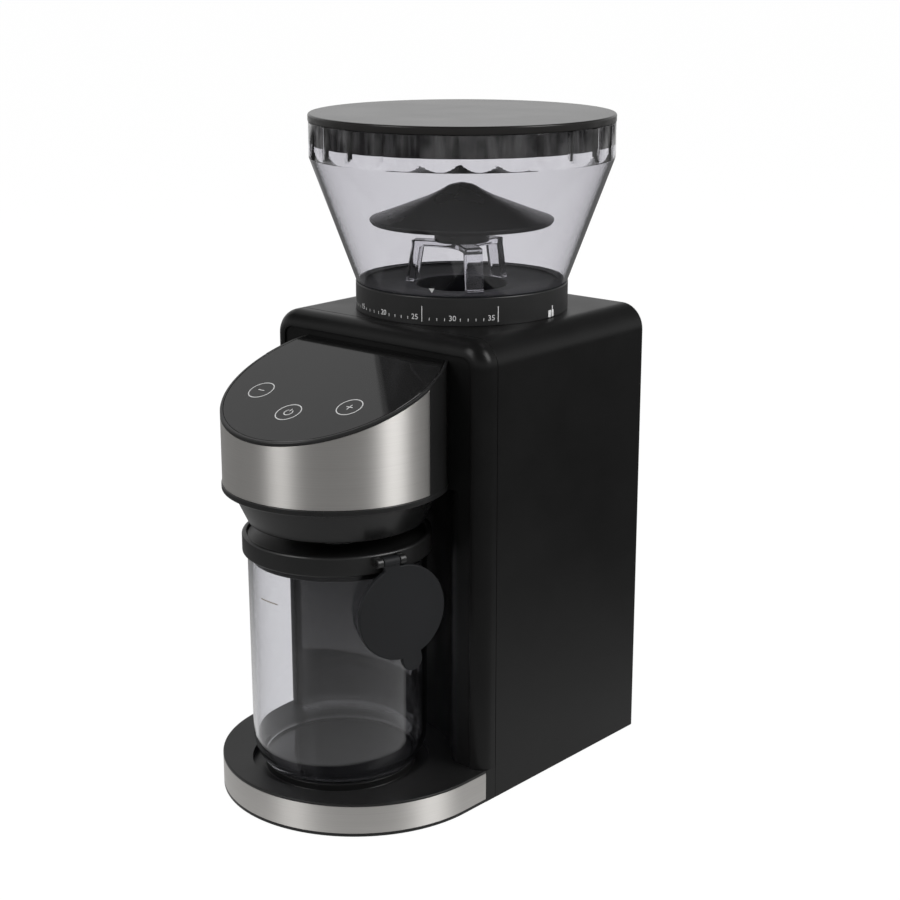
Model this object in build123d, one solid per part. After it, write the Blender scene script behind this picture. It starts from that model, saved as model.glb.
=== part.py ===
from build123d import *
import math
import os

# A burr coffee grinder: a tower with a bean hopper on top, a round head over a grounds jar, and a
# base that the jar stands on. Millimetres, +Z up, the front looks along -Y, and the origin is under
# the middle of the whole object's box.

# Clearances
SNUG = 0.1            # between pieces that are fastened together
LOOSE = 0.4           # between pieces that move past each other
RUNNING = 0.03        # radial, between a shaft and its bearing
CUT = 1.0             # how far a cutting shape runs past the face it cuts

# Grounds jar
JAR_RADIUS = 41.0
JAR_HEIGHT = 107.6
JAR_WALL = 2.0
JAR_TAPER = 0.4       # how much narrower the wall is at its foot
JAR_FOOT_INSET = 7.0  # from the wall in to the edge of the flat sole
JAR_CURVE_HEIGHT = 14.5
JAR_CURVE_RADIUS = 21.8
JAR_TOE = 1.5         # height of the bevel under the curve
LID_RIM = 2.3         # jar lid, beyond the jar's wall
LID_RISE = 3.6        # jar lid, above the jar's mouth
LID_GRIP = 5.5        # jar lid, below the jar's mouth
LID_FIT = 0.2         # radial, between the lid's grip and the jar
LID_PLATE = 2.0
LID_BEAD = 2.4        # width of the raised rim round the lid
LID_ROUND = 0.8
PLUG_DEPTH = 9.0      # jar lid's plug inside the jar
PLUG_WALL = 1.8
PLUG_GAP = 0.7        # between the plug and the jar, where the seal sits
SEAL_HEIGHT = 2.0
SEAL_WIDTH = 0.45
POUR_RADIUS = 19.0

# Flap over the pouring hole
FLAP_AZIMUTH = 74.0   # round the jar, from the front towards +X
FLAP_OVERLAP = 3.0    # flap, beyond the pouring hole
FLAP_THICK = 2.4
FLAP_TILT = 12.5      # how far the soft flap hangs askew
FLAP_NECK = 3.2       # strap, between the hinge and the flap's edge
FLAP_PIN = 1.0
KNUCKLE = 2.2
STRAP_WIDTH = 8.0
STRAP_ROOT = 6.0      # how far the strap runs into the flap
TAB_RADIUS = 5.0
TAB_REACH = 7.0       # finger tab, beyond the flap's edge
LUG_WIDTH = 3.0
LUG_GAP = 0.3
HINGE_OUT = 2.9       # from the jar lid's wall out to the hinge
HINGE_RISE = 0.6      # hinge above the jar's mouth

# Tower
BAY_ROOM = 8.7        # between the jar lid and the bay's wall
BAY_DEPTH = 26.5      # how far the bay reaches behind the tower's front
BAY_SIDE = 13.0       # from the bay out to the tower's side
BAY_ROUND = 12.0      # upright edges of the bay
TOWER_FRONT = 62.0    # from the hopper's axis forward to the tower's front
SEAM_SETBACK = 10.0   # depth of the front shell at the sides
SEAM_TONGUE = 3.0     # tongue of the front shell, to each side of the seam
TONGUE_WALL = 1.5
WALL = 2.5
TOP_ROUND = 12.0      # top corners, seen from the front
FRAME_ROUND = 8.5     # front edge of the front shell
BACK_ROUND = 1.5
INNER_ROUND = 0.5     # least round inside the back
FRAME_WIDTH = 7.5     # raised frame round the front shell's face
FACE_DROP = 1.0       # how deep the face lies inside that frame
DOOR_ROOM = 2.0       # doorway in the front shell, beyond the chute

# Base
FOOT_HEIGHT = 1.5
FOOT_RADIUS = 8.0
FOOT_INSET = 22.0     # feet, from the tower's side
FOOT_LEAD = 24.0      # front feet, ahead of the middle of the base's round front
FOOT_BACK = 34.0      # back feet, from the tower's back
BASE_HEIGHT = 14.9    # base, without the feet
BASE_SKIN = 3.2       # top of the base tray
BASE_LEAD = 0.45      # how far the base reaches ahead of the head
BAND_STOP = 6.5       # from the side seam forward to the end of the base band
STEEL = 0.85          # thickness of the steel bands
BAND_EDGE = 0.9       # black edge above and below the base band
PLATE = 2.5           # bottom plate
VENT_COUNT = 7
VENT_PITCH = 6.0
VENT_WIDTH = 3.0
VENT_LENGTH = 36.0
MOAT_DEPTH = 1.6      # groove round the jar's sole
MOAT_INNER = 1.0      # from the edge of the sole out to the groove

# Head
JAR_GAP = 5.4         # between the jar lid and the funnel
FUNNEL_DROP = 15.4
FUNNEL_TOP_INSET = 3.9   # funnel, in from the head's wall
FUNNEL_FOOT_INSET = 11.1
FUNNEL_WALL = 1.8
HEAD_RISE = 69.1      # from the head's underside up to the tower's top
HEAD_SIDE = 8.0       # head, beyond the jar lid
HEAD_WALL = 3.8
HEAD_FLOOR = 2.6
LIP_HEIGHT = 2.9
LIP_PROUD = 0.4
PANEL_DROP = 10.4     # from the tower's top down to the panel's back edge
PANEL_ANGLE = 19.8
PANEL_THICK = 2.2
PANEL_RIM = 1.5
BAND_RIM = 1.6        # black edge above the head band
HEAD_BAND_BACK = 18.8  # from the tower's front forward to the end of the head band
TOUCH_BOARD = 1.6
TOUCH_BOARD_INSET = 11.8
TOUCH_BOARD_BACK = 4.0
SPOUT_RADIUS = 16.0
SPOUT_WALL = 2.0
CHUTE_WIDTH = 28.0
CHUTE_HEIGHT = 16.0   # chute's roof, above the chamber's floor
CHUTE_FALL = 10.0
CHUTE_ROOT = 10.0     # chute, reaching under the chamber's wall before it is trimmed

# Hopper
HOPPER_RADIUS = 71.4
HOPPER_BAND = 16.6    # straight upper part
HOPPER_CONE = 57.4    # tapered part
HOPPER_WALL = 1.7
HOPPER_INSET = 0.2    # foot of the cone, in from the collar
HOPPER_FOOT = 2.0     # ring that the dish holds
LID_OVERHANG = 0.35   # hopper lid, beyond the hopper
LID_THICK = 3.7
LID_HOLLOW = 1.0
SKIRT_GAP = 0.5
SKIRT_WALL = 1.6
SKIRT_DROP = 10.5
COLLAR_RADIUS = 50.4
COLLAR_HEIGHT = 13.1
COLLAR_WALL = 2.4
COLLAR_FLOOR = 2.5
COLLAR_SPIGOT = 0.7   # collar's spigot, beyond the chamber's flange
COLLAR_ROOM = 5.0     # collar's bore, beyond the burr carrier
DISH_WALL = 2.0
DISH_SINK = 4.2       # dish floor's underside below the collar's top
DISH_FLOOR = 2.5
DISH_SLOPE = 1.5
THROAT_RADIUS = 21.5
THROAT_FLAT = 6.0     # level ring round the throat
NECK_WALL = 2.0
NECK_DROP = 20.4
KEY_WIDTH = 6.0
KEY_HEIGHT = 4.0
KEY_ROOT = 0.5
KEY_SHORT = 1.5       # key, short of the burr carrier's outside
GUARD_RADIUS = 44.0
GUARD_RISE = 19.5
GUARD_EDGE = 1.6
GUARD_WALL = 2.2
GUARD_BRIM = 6.0      # width of the flatter brim
GUARD_BRIM_RISE = 2.4
GUARD_CROWN = 11.0    # radius where the cone turns into the tip
GUARD_CROWN_DROP = 5.0
GUARD_TIP = 5.0
GUARD_TIP_DROP = 1.2
GUARD_LIFT = 28.6     # from the dish floor up to the guard's rim
BOSS_RADIUS = 13.0
BRIDGE_HEIGHT = 20.1
BRIDGE_PLATE = 3.0
BRIDGE_INSET = 1.0
LEG_COUNT = 3
LEG_AZIMUTH = 54.0
LEG_LEAN = 3.0        # legs, in towards the middle at their tops
LEG_WIDTH = 7.0
LEG_DEPTH = 4.5
LEG_SETBACK = 1.0     # legs, out from the throat

# Burrs and grinding chamber
CARRIER_WALL = 3.8
CARRIER_HEIGHT = 33.0
CARRIER_SINK = 2.0    # carrier's top below the tower's top wall
CARRIER_SHELF = 2.0
SHELF_WIDTH = 1.6
SLOT_ROOM = 2.5       # carrier's slot, below the key
RING_BURR_HEIGHT = 20.0
RING_BURR_WAIST = 8.0  # height of the part that grinds
RING_BURR_TOP = 2.0
BURR_GAP = 0.9
BURR_RADIUS = 18.0
BURR_TOP_RADIUS = 11.5
BURR_HEIGHT = 27.0
BURR_HANG = 4.5       # inner burr's foot below the carrier
BURR_FLUTES = 9
FLUTE_WIDTH = 2.6
FLUTE_DEPTH = 1.6
FLUTE_LEAN = 14.0
NUT_RADIUS = 8.0
NUT_HEIGHT = 4.0
SHAFT_END = 0.5
THREAD_GAP = 0.4
CHAMBER_WALL = 5.0
CHAMBER_FLANGE = 4.0
CHAMBER_FLANGE_WIDTH = 8.0
CHAMBER_FLOOR = 3.5
CHAMBER_SHELF = 1.6   # chamber's step below the carrier
CHAMBER_ROOM = 14.0   # below that step, for the impeller
IMPELLER_RADIUS = 29.0
IMPELLER_ROOM = 2.0
IMPELLER_LIFT = 1.4
IMPELLER_HEIGHT = 8.0
IMPELLER_DISC = 2.0
IMPELLER_HUB = 9.0
PADDLES = 4
PADDLE_WIDTH = 2.4
SHAFT_RADIUS = 5.0
SPACER_RADIUS = 8.0
BEARING_RADIUS = 11.0
BEARING_HEIGHT = 6.0
BEARING_SEAT = 2.5
PILLAR_COUNT = 3
PILLAR_RADIUS = 4.0
PILLAR_HEIGHT = 14.0
PILLAR_INSET = 3.0    # pillars, in from the neck

# Gear train and motor
MODULE = 0.9
MOTOR_TEETH = 12
IDLER_LARGE_TEETH = 48
IDLER_SMALL_TEETH = 16
OUTPUT_TEETH = 44
TOOTH_TIP = 0.8       # height above the pitch line, in modules
TOOTH_ROOT = 1.15     # depth below the pitch line, in modules
HALF_TIP = 0.34       # half of the tooth's width at the tip, in modules
HALF_ROOT = 0.98      # half of the tooth's width at the root, in modules
GEAR_WIDTH = 8.0
GEAR_GAP = 2.0
GEAR_ROOM = 0.6
CASE_WALL = 2.5
CASE_FLOOR = 3.0
CASE_ROOM = 3.4       # between the gearbox and the tower's back wall
EAR_OUT = 2.5         # gearbox ears, out from the case
AXLE_RADIUS = 3.0
MOTOR_RADIUS = 22.0
MOTOR_LENGTH = 64.0
MOTOR_WALL = 1.5
MOTOR_PLATE = 3.0
MOTOR_CAP = 4.0
CAP_SPIGOT = 2.0
CAP_SKIN = 1.5
MOTOR_SHAFT_RADIUS = 2.5
MOTOR_SHAFT_ROOM = 1.5
MOTOR_SCREW_X = 12.0
TERMINAL_X = 14.0
TERMINAL = (4.8, 0.8, 7.0)
ARMATURE_RADIUS = 17.0
ARMATURE_SLOTS = 8
ARMATURE_SLOT = (4.0, 2.0)
ARMATURE_GAP = 6.0    # core, below the motor's front plate
COMMUTATOR_RADIUS = 7.0
COMMUTATOR_LIFT = 3.0
COMMUTATOR_HEIGHT = 9.0

# Fasteners
SCREW_RADIUS = 1.6
SCREW_HEAD_RADIUS = 3.2
SCREW_HEAD = 1.2
PAN_HEAD = 1.8
SCREW_BITE = 10.0
SCREW_TIP = 0.5       # between a screw's tip and the end of its hole
SLOT_SIZE = (4.0, 0.8, 0.6)
BOSS_WALL = 2.6
BOSS_HEIGHT = 15.0
BOSS_INSET = 9.0      # tower bosses, in from the side wall
BOSS_AHEAD = 20.0     # front pair, ahead of the hopper's axis
BOSS_BACK = 14.0      # back pair, in from the back wall
TRAY_BOSS_X = 39.0
TRAY_BOSS_LEAD = 12.0
FLANGE_SCREW_INSET = 4.0
FLANGE_SCREW_COUNT = 4
COLLAR_HOLE_SKIN = 1.0
RIB = 3.0

# Boards, switch and cord inlet
BOARD_THICK = 1.6
BOARD_WIDTH = 84.0
BOARD_GAP = 2.0       # between the board and the gearbox over it
BOARD_LIFT = 6.0      # board, above the cord inlet
STANDOFF = 2.8
STANDOFF_RADIUS = 3.0
STANDOFF_ROOT = 1.0
STANDOFF_X = 6.0
STANDOFF_Z = 5.0
CAPACITORS = ((-26.0, 18.0, 8.0, 20.0), (-26.0, 40.0, 6.0, 14.0))
BLOCKS = ((8.0, 22.0, 24.0, 20.0, 16.0), (20.0, 44.0, 18.0, 14.0, 11.0))
INLET_RADIUS = 7.0
INLET_BORE = 3.6
INLET_X = 40.0
INLET_Z = 24.0
INLET_PROUD = 1.8
INLET_FLANGE = 1.8
INLET_TAIL = 3.0
SWITCH_SIZE = (20.0, 6.0, 7.0)
SWITCH_GAP = 0.8
PRONG_PITCH = 7.0
PRONG = (1.6, 0.6, 4.0)

# Heights that follow
PLATE_TOP = FOOT_HEIGHT + PLATE
BASE_TOP = FOOT_HEIGHT + BASE_HEIGHT
JAR_LOW = BASE_TOP + SNUG
JAR_TOP = JAR_LOW + JAR_HEIGHT
JAR_LID_TOP = JAR_TOP + LID_RISE
HINGE_Z = JAR_TOP + HINGE_RISE
FUNNEL_LOW = JAR_LID_TOP + JAR_GAP
HEAD_BOTTOM = FUNNEL_LOW + FUNNEL_DROP
TOWER_TOP = HEAD_BOTTOM + HEAD_RISE
PANEL_TOP = TOWER_TOP - PANEL_DROP
COLLAR_TOP = TOWER_TOP + COLLAR_HEIGHT
HOPPER_LOW = COLLAR_TOP + LOOSE
HOPPER_BREAK = HOPPER_LOW + HOPPER_CONE
HOPPER_TOP = HOPPER_BREAK + HOPPER_BAND
LID_LOW = HOPPER_TOP + SNUG
DISH_LOW = COLLAR_TOP - DISH_SINK
DISH_TOP = DISH_LOW + DISH_FLOOR
NECK_LOW = DISH_LOW - NECK_DROP
GUARD_LOW = DISH_TOP + GUARD_LIFT
FLANGE_TOP = TOWER_TOP - WALL
FLANGE_LOW = FLANGE_TOP - CHAMBER_FLANGE
CARRIER_TOP = FLANGE_TOP - CARRIER_SINK
CARRIER_LOW = CARRIER_TOP - CARRIER_HEIGHT
BURR_LOW = CARRIER_LOW - BURR_HANG
BURR_TOP = BURR_LOW + BURR_HEIGHT
CHAMBER_STEP = CARRIER_LOW - CHAMBER_SHELF
CHAMBER_LOW = CHAMBER_STEP - CHAMBER_ROOM
IMPELLER_LOW = CHAMBER_LOW + IMPELLER_LIFT
IMPELLER_TOP = IMPELLER_LOW + IMPELLER_HEIGHT
GEARBOX_TOP = CHAMBER_LOW - CHAMBER_FLOOR - PILLAR_HEIGHT
COVER_LOW = GEARBOX_TOP - CASE_FLOOR
OUTPUT_TOP = GEARBOX_TOP - BEARING_HEIGHT - GEAR_GAP / 2
OUTPUT_LOW = OUTPUT_TOP - GEAR_WIDTH - GEAR_GAP
PINION_LOW = OUTPUT_LOW - GEAR_GAP - GEAR_WIDTH
PINION_TOP = PINION_LOW + GEAR_WIDTH
CASE_LOW = PINION_LOW - GEAR_GAP - CASE_FLOOR
MOTOR_LOW = CASE_LOW - MOTOR_LENGTH
BOARD_LOW = INLET_Z + INLET_RADIUS + BOARD_LIFT
BOARD_TOP = CASE_LOW - BOARD_GAP

# Radii and widths that follow
JAR_FOOT_RADIUS = JAR_RADIUS - JAR_FOOT_INSET
JAR_LID_RADIUS = JAR_RADIUS + LID_RIM
PLUG_RADIUS = JAR_RADIUS - JAR_WALL - PLUG_GAP
HINGE_RADIUS = JAR_LID_RADIUS + HINGE_OUT
FLAP_RADIUS = POUR_RADIUS + FLAP_OVERLAP
FLAP_ARM = FLAP_NECK + FLAP_RADIUS
STRAP_HALF = STRAP_WIDTH / 2
LUG_START = STRAP_HALF + LUG_GAP
LUG_END = LUG_START + LUG_WIDTH
RECESS_RADIUS = JAR_LID_RADIUS + BAY_ROOM
TOWER_WIDTH = 2 * (RECESS_RADIUS + BAY_SIDE)
HEAD_RADIUS = JAR_LID_RADIUS + HEAD_SIDE
PANEL_RADIUS = HEAD_RADIUS - PANEL_RIM
PLATE_INSET = WALL + STEEL + LOOSE
LID_RADIUS = HOPPER_RADIUS + LID_OVERHANG
SKIRT_RADIUS = HOPPER_RADIUS - HOPPER_WALL - SKIRT_GAP
DISH_RADIUS = COLLAR_RADIUS - COLLAR_WALL - LOOSE
NECK_RADIUS = THROAT_RADIUS + NECK_WALL
CARRIER_BORE = NECK_RADIUS + LOOSE
CARRIER_RADIUS = CARRIER_BORE + CARRIER_WALL
CHAMBER_BORE = CARRIER_RADIUS + THREAD_GAP
IMPELLER_BORE = IMPELLER_RADIUS + IMPELLER_ROOM
CHAMBER_RADIUS = max(IMPELLER_BORE, CHAMBER_BORE) + CHAMBER_WALL
FLANGE_RADIUS = CHAMBER_RADIUS + CHAMBER_FLANGE_WIDTH
COLLAR_BORE = CARRIER_RADIUS + COLLAR_ROOM
SPIGOT_RADIUS = FLANGE_RADIUS + COLLAR_SPIGOT
CENTRE_DISTANCE = MODULE * (IDLER_LARGE_TEETH + MOTOR_TEETH) / 2
CASE_INSIDE = MODULE * (IDLER_LARGE_TEETH / 2 + 1) + GEAR_ROOM
CASE_RADIUS = CASE_INSIDE + CASE_WALL
EAR_X = CASE_RADIUS + EAR_OUT
TOWER_BACK = CENTRE_DISTANCE + CASE_RADIUS + CASE_ROOM + WALL

# Places along Y: the object's box runs from the base's front to the hopper lid's back
JAR_FROM_HOPPER = TOWER_FRONT + RECESS_RADIUS - BAY_DEPTH
FRONT_REACH = JAR_FROM_HOPPER + HEAD_RADIUS + BASE_LEAD
BACK_REACH = max(LID_RADIUS, TOWER_BACK + INLET_PROUD)
HOPPER_Y = (FRONT_REACH - BACK_REACH) / 2
JAR_Y = HOPPER_Y - JAR_FROM_HOPPER
FRONT_Y = HOPPER_Y - TOWER_FRONT
FACE_Y = FRONT_Y + FACE_DROP
SEAM_Y = FRONT_Y + SEAM_SETBACK
BACK_Y = HOPPER_Y + TOWER_BACK
TRAY_BACK_Y = SEAM_Y - BAND_STOP
BASE_ARC_Y = HOPPER_Y - FRONT_REACH + TOWER_WIDTH / 2
HEAD_BAND_Y = FRONT_Y - HEAD_BAND_BACK
IDLER_Y = HOPPER_Y + CENTRE_DISTANCE
HOPPER_AT = (0.0, HOPPER_Y)
JAR_AT = (0.0, JAR_Y)
IDLER_AT = (0.0, IDLER_Y)
SIDES = (-1, 1)
BIG = 4 * (TOWER_TOP + TOWER_WIDTH)


def polar(radius, azimuth, at):
    """A place round an axis. Azimuth 0 is the front, and it grows towards +X."""
    angle = math.radians(azimuth)
    return (at[0] + radius * math.sin(angle), at[1] - radius * math.cos(angle))


# Places of the fasteners and pillars
TOWER_BOSS_X = TOWER_WIDTH / 2 - WALL - BOSS_INSET
TOWER_BOSS_YS = (HOPPER_Y - BOSS_AHEAD, BACK_Y - WALL - BOSS_BACK)
TOWER_BOSSES = [(side * TOWER_BOSS_X, y) for side in SIDES for y in TOWER_BOSS_YS]
TRAY_BOSSES = [(side * TRAY_BOSS_X, BASE_ARC_Y - TRAY_BOSS_LEAD) for side in SIDES]
FOOT_X = TOWER_WIDTH / 2 - FOOT_INSET
FEET = [(side * FOOT_X, y) for side in SIDES for y in (BASE_ARC_Y - FOOT_LEAD, BACK_Y - FOOT_BACK)]
FLANGE_SCREWS = [polar(FLANGE_RADIUS - FLANGE_SCREW_INSET, (step + 0.5) * 360 / FLANGE_SCREW_COUNT, HOPPER_AT)
                 for step in range(FLANGE_SCREW_COUNT)]
PILLARS = [polar(NECK_RADIUS - PILLAR_INSET, 180 + step * 360 / PILLAR_COUNT, HOPPER_AT)
           for step in range(PILLAR_COUNT)]
EARS = [(side * EAR_X, y) for side in SIDES for y in (HOPPER_Y, IDLER_Y)]
MOTOR_SCREWS = [(side * MOTOR_SCREW_X, HOPPER_Y) for side in SIDES]


def disc(radius, low, high, at):
    """A round solid on a vertical axis, from one height to another."""
    return Pos(at[0], at[1], (low + high) / 2) * Cylinder(radius, high - low)


def ring(outer, inner, low, high, at):
    """A round tube on a vertical axis."""
    return disc(outer, low, high, at) - disc(inner, low - CUT, high + CUT, at)


def block(x, y, z):
    """A box between two places along each axis."""
    middle = [(low + high) / 2 for low, high in (x, y, z)]
    size = [high - low for low, high in (x, y, z)]
    return Pos(*middle) * Box(*size)


def about(middle, width):
    """The two ends of a width round its middle."""
    return (middle - width / 2, middle + width / 2)


def turned(points, at):
    """A solid of revolution on a vertical axis, from points of radius and height."""
    outline = Polyline(*points, close=True)
    return Pos(at[0], at[1], 0) * revolve(Plane.XZ * make_face(outline), Axis.Z)


def along_y(radius, front, back, x, z):
    """A round solid that runs from front to back."""
    return Pos(x, (front + back) / 2, z) * Rot(90, 0, 0) * Cylinder(radius, back - front)


def ahead_of(y):
    """All the space in front of a plane across the object."""
    return block((-BIG, BIG), (-BIG, y), (-BIG, BIG))


def below_panel(drop):
    """All the space under the sloping panel's plane, lowered by a drop."""
    tilted = Rot(PANEL_ANGLE, 0, 0) * Pos(0, 0, -BIG / 2) * Box(BIG, BIG, BIG)
    return Pos(0, FRONT_Y, PANEL_TOP - drop) * tilted


def together(solids):
    """Several separate solids that share one node."""
    return Part() + list(solids)


# Tower


def tower_slab(inset, front, back, low):
    """The tower's front view, square at the foot and round at the top corners, given a depth."""
    half = TOWER_WIDTH / 2 - inset
    top = TOWER_TOP - inset
    outline = Pos(0, (low + top) / 2) * Rectangle(2 * half, top - low)
    outline = fillet(outline.vertices().group_by(Axis.Y)[-1], TOP_ROUND - inset)
    return extrude(Plane.XZ.offset(-back) * outline, back - front)


def rounded_end(solid, side, radius):
    """Rounds the outline of a slab's front (0) or back (-1) end, but not along its foot."""
    end = solid.faces().sort_by(Axis.Y)[side]
    edges = end.edges().sort_by(Axis.Z)[1:]
    return fillet(edges, radius)


def rear_housing():
    """Sides, back and top of the tower, open at the front and below."""
    shell = rounded_end(tower_slab(0, SEAM_Y + SNUG, BACK_Y, FOOT_HEIGHT), -1, BACK_ROUND)
    inside = tower_slab(WALL, SEAM_Y - CUT, BACK_Y - WALL, FOOT_HEIGHT - CUT)
    shell -= rounded_end(inside, -1, max(BACK_ROUND - WALL, INNER_ROUND))
    shell -= disc(SPIGOT_RADIUS + SNUG, TOWER_TOP - 2 * WALL, TOWER_TOP + CUT, HOPPER_AT)
    boss_top = PLATE_TOP + BOSS_HEIGHT
    for x, y in TOWER_BOSSES:
        wall_x = math.copysign(TOWER_WIDTH / 2 - WALL / 2, x)
        post = disc(SCREW_RADIUS + BOSS_WALL, PLATE_TOP, boss_top, (x, y))
        post += block(sorted((x, wall_x)), about(y, RIB), (PLATE_TOP, boss_top))
        shell += post - disc(SCREW_RADIUS + SNUG / 2, PLATE_TOP - CUT, boss_top - WALL, (x, y))
    wall_y = BACK_Y - WALL
    for side in SIDES:
        for z in (BOARD_LOW + STANDOFF_Z, BOARD_TOP - STANDOFF_Z):
            x = side * (BOARD_WIDTH / 2 - STANDOFF_X)
            shell += along_y(STANDOFF_RADIUS, wall_y - STANDOFF, wall_y + STANDOFF_ROOT, x, z)
    return shell - along_y(INLET_RADIUS + SNUG, wall_y - CUT, BACK_Y + CUT, INLET_X, INLET_Z)


def bay(low, high):
    """The round room that the jar stands in, with its two upright edges rounded."""
    room = disc(RECESS_RADIUS, low, high, JAR_AT)
    reach = RECESS_RADIUS + BAY_ROUND
    edge_y = FACE_Y + BAY_ROUND
    edge_x = math.sqrt(reach ** 2 - (edge_y - JAR_Y) ** 2)
    share = RECESS_RADIUS / reach
    meet_x = edge_x * share
    meet_y = JAR_Y + (edge_y - JAR_Y) * share
    for side in SIDES:
        corner = block(sorted((side * meet_x, side * edge_x)), (FRONT_Y - CUT, meet_y), (low, high))
        room += corner - disc(BAY_ROUND, low - CUT, high + CUT, (side * edge_x, edge_y))
    return room


def front_housing():
    """Front shell of the tower, with a raised frame and the round bay that the jar stands in."""
    shell = rounded_end(tower_slab(0, FRONT_Y, SEAM_Y, FOOT_HEIGHT), 0, FRAME_ROUND)
    inside = tower_slab(WALL, FACE_Y + WALL, SEAM_Y + CUT, FOOT_HEIGHT - CUT)
    shell -= rounded_end(inside, 0, FRAME_ROUND - WALL - FACE_DROP)
    tongue = tower_slab(WALL + SNUG, SEAM_Y - SEAM_TONGUE, SEAM_Y + SEAM_TONGUE, PLATE_TOP + SNUG)
    hollow = tower_slab(WALL + TONGUE_WALL, SEAM_Y - BIG, SEAM_Y + BIG, FOOT_HEIGHT - CUT)
    shell += tongue - hollow
    shell += disc(RECESS_RADIUS + WALL, BASE_TOP, HEAD_BOTTOM + WALL, JAR_AT) - ahead_of(FACE_Y)
    shell -= bay(FOOT_HEIGHT - CUT, HEAD_BOTTOM)
    shell -= tower_slab(FRAME_WIDTH, FRONT_Y - CUT, FACE_Y, FOOT_HEIGHT - CUT)
    shell -= block((-BIG, BIG), (-BIG, TRAY_BACK_Y), (-BIG, BASE_TOP))
    shell -= disc(RECESS_RADIUS + WALL + SNUG, -BIG, BASE_TOP, JAR_AT)
    shell -= base_slab(PLATE_INSET - LOOSE, FOOT_HEIGHT - CUT, PLATE_TOP + SNUG)
    doorway = (HEAD_BOTTOM + HEAD_FLOOR, CHAMBER_LOW + CHUTE_HEIGHT + DOOR_ROOM)
    return shell - block(about(0, CHUTE_WIDTH + 2 * DOOR_ROOM), (FRONT_Y - CUT, SEAM_Y), doorway)


# Base


def base_slab(inset, low, high):
    """The base's outline, round in front, given a height."""
    half = TOWER_WIDTH / 2 - inset
    straight = block((-half, half), (BASE_ARC_Y, BACK_Y - inset), (low, high))
    return disc(half, low, high, (0.0, BASE_ARC_Y)) + straight


def base_tray():
    """The black base under the jar, with a shallow groove round the jar's sole."""
    under = BASE_TOP - BASE_SKIN
    tray = base_slab(0, FOOT_HEIGHT, BASE_TOP) & ahead_of(TRAY_BACK_Y - SNUG)
    tray -= base_slab(WALL + STEEL, FOOT_HEIGHT - CUT, under)
    groove = base_slab(-CUT, FOOT_HEIGHT + BAND_EDGE, BASE_TOP - BAND_EDGE)
    tray -= groove - base_slab(STEEL + SNUG, FOOT_HEIGHT, BASE_TOP)
    tray += disc(RECESS_RADIUS + WALL, under, BASE_TOP, JAR_AT) - ahead_of(FRONT_Y)
    for place in TRAY_BOSSES:
        tray += disc(SCREW_RADIUS + BOSS_WALL, PLATE_TOP, under + SNUG, place)
        tray -= disc(SCREW_RADIUS + SNUG / 2, FOOT_HEIGHT, under, place)
    sole = JAR_FOOT_RADIUS + MOAT_INNER
    return tray - ring(JAR_RADIUS + LOOSE, sole, BASE_TOP - MOAT_DEPTH, BASE_TOP + CUT, JAR_AT)


def base_band():
    """Steel strip round the base."""
    low = FOOT_HEIGHT + BAND_EDGE + SNUG / 2
    high = BASE_TOP - BAND_EDGE - SNUG / 2
    band = base_slab(0, low, high) - base_slab(STEEL, low - CUT, high + CUT)
    return band & ahead_of(TRAY_BACK_Y - SNUG)


def bottom_plate():
    """Plate that closes the tower and the base from below, with vents under the motor."""
    plate = base_slab(PLATE_INSET, FOOT_HEIGHT, PLATE_TOP)
    back = plate.edges().filter_by(Axis.Z).group_by(Axis.Y)[-1]
    plate = fillet(back, max(BACK_ROUND - WALL, INNER_ROUND))
    below = FOOT_HEIGHT - CUT
    for place in TOWER_BOSSES + TRAY_BOSSES:
        plate -= disc(SCREW_RADIUS + 2 * SNUG, below, PLATE_TOP + CUT, place)
        plate -= disc(SCREW_HEAD_RADIUS + 2 * SNUG, below, FOOT_HEIGHT + SCREW_HEAD + SNUG, place)
    for row in range(VENT_COUNT):
        y = HOPPER_Y + (row - (VENT_COUNT - 1) / 2) * VENT_PITCH
        plate -= block(about(0, VENT_LENGTH), about(y, VENT_WIDTH), (below, PLATE_TOP + CUT))
    return plate


def rubber_feet():
    """Four feet under the bottom plate."""
    return together(disc(FOOT_RADIUS, 0, FOOT_HEIGHT, place) for place in FEET)


def base_screws():
    """Screws that hold the bottom plate."""
    low = FOOT_HEIGHT + SNUG
    neck = low + SCREW_HEAD
    wide, narrow, deep = SLOT_SIZE
    tray_tip = BASE_TOP - BASE_SKIN - SCREW_TIP

    def screw(place):
        tip = min(neck + SCREW_BITE, tray_tip) if place in TRAY_BOSSES else neck + SCREW_BITE
        slot = block(about(place[0], wide), about(place[1], narrow), (0, low + deep))
        return disc(SCREW_HEAD_RADIUS, low, neck, place) + disc(SCREW_RADIUS, neck, tip, place) - slot

    return together(screw(place) for place in TOWER_BOSSES + TRAY_BOSSES)


# Head


def head_shell():
    """Black drum under the touch panel, open behind where it meets the front shell."""
    lip_top = HEAD_BOTTOM + LIP_HEIGHT
    drum = disc(HEAD_RADIUS, HEAD_BOTTOM, TOWER_TOP, JAR_AT) & below_panel(0)
    drum += disc(HEAD_RADIUS + LIP_PROUD, HEAD_BOTTOM, lip_top, JAR_AT)
    drum &= ahead_of(FACE_Y)
    drum -= disc(HEAD_RADIUS - HEAD_WALL, HEAD_BOTTOM + HEAD_FLOOR, TOWER_TOP, JAR_AT)
    seat = disc(PANEL_RADIUS + SNUG, HEAD_BOTTOM, TOWER_TOP, JAR_AT) - below_panel(PANEL_THICK)
    drum -= seat
    groove = ring(HEAD_RADIUS + CUT, HEAD_RADIUS - STEEL - SNUG, lip_top, TOWER_TOP, JAR_AT)
    drum -= groove & below_panel(BAND_RIM) & ahead_of(HEAD_BAND_Y)
    return drum - disc(SPOUT_RADIUS + SNUG, HEAD_BOTTOM - CUT, HEAD_BOTTOM + 2 * HEAD_FLOOR, JAR_AT)


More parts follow.
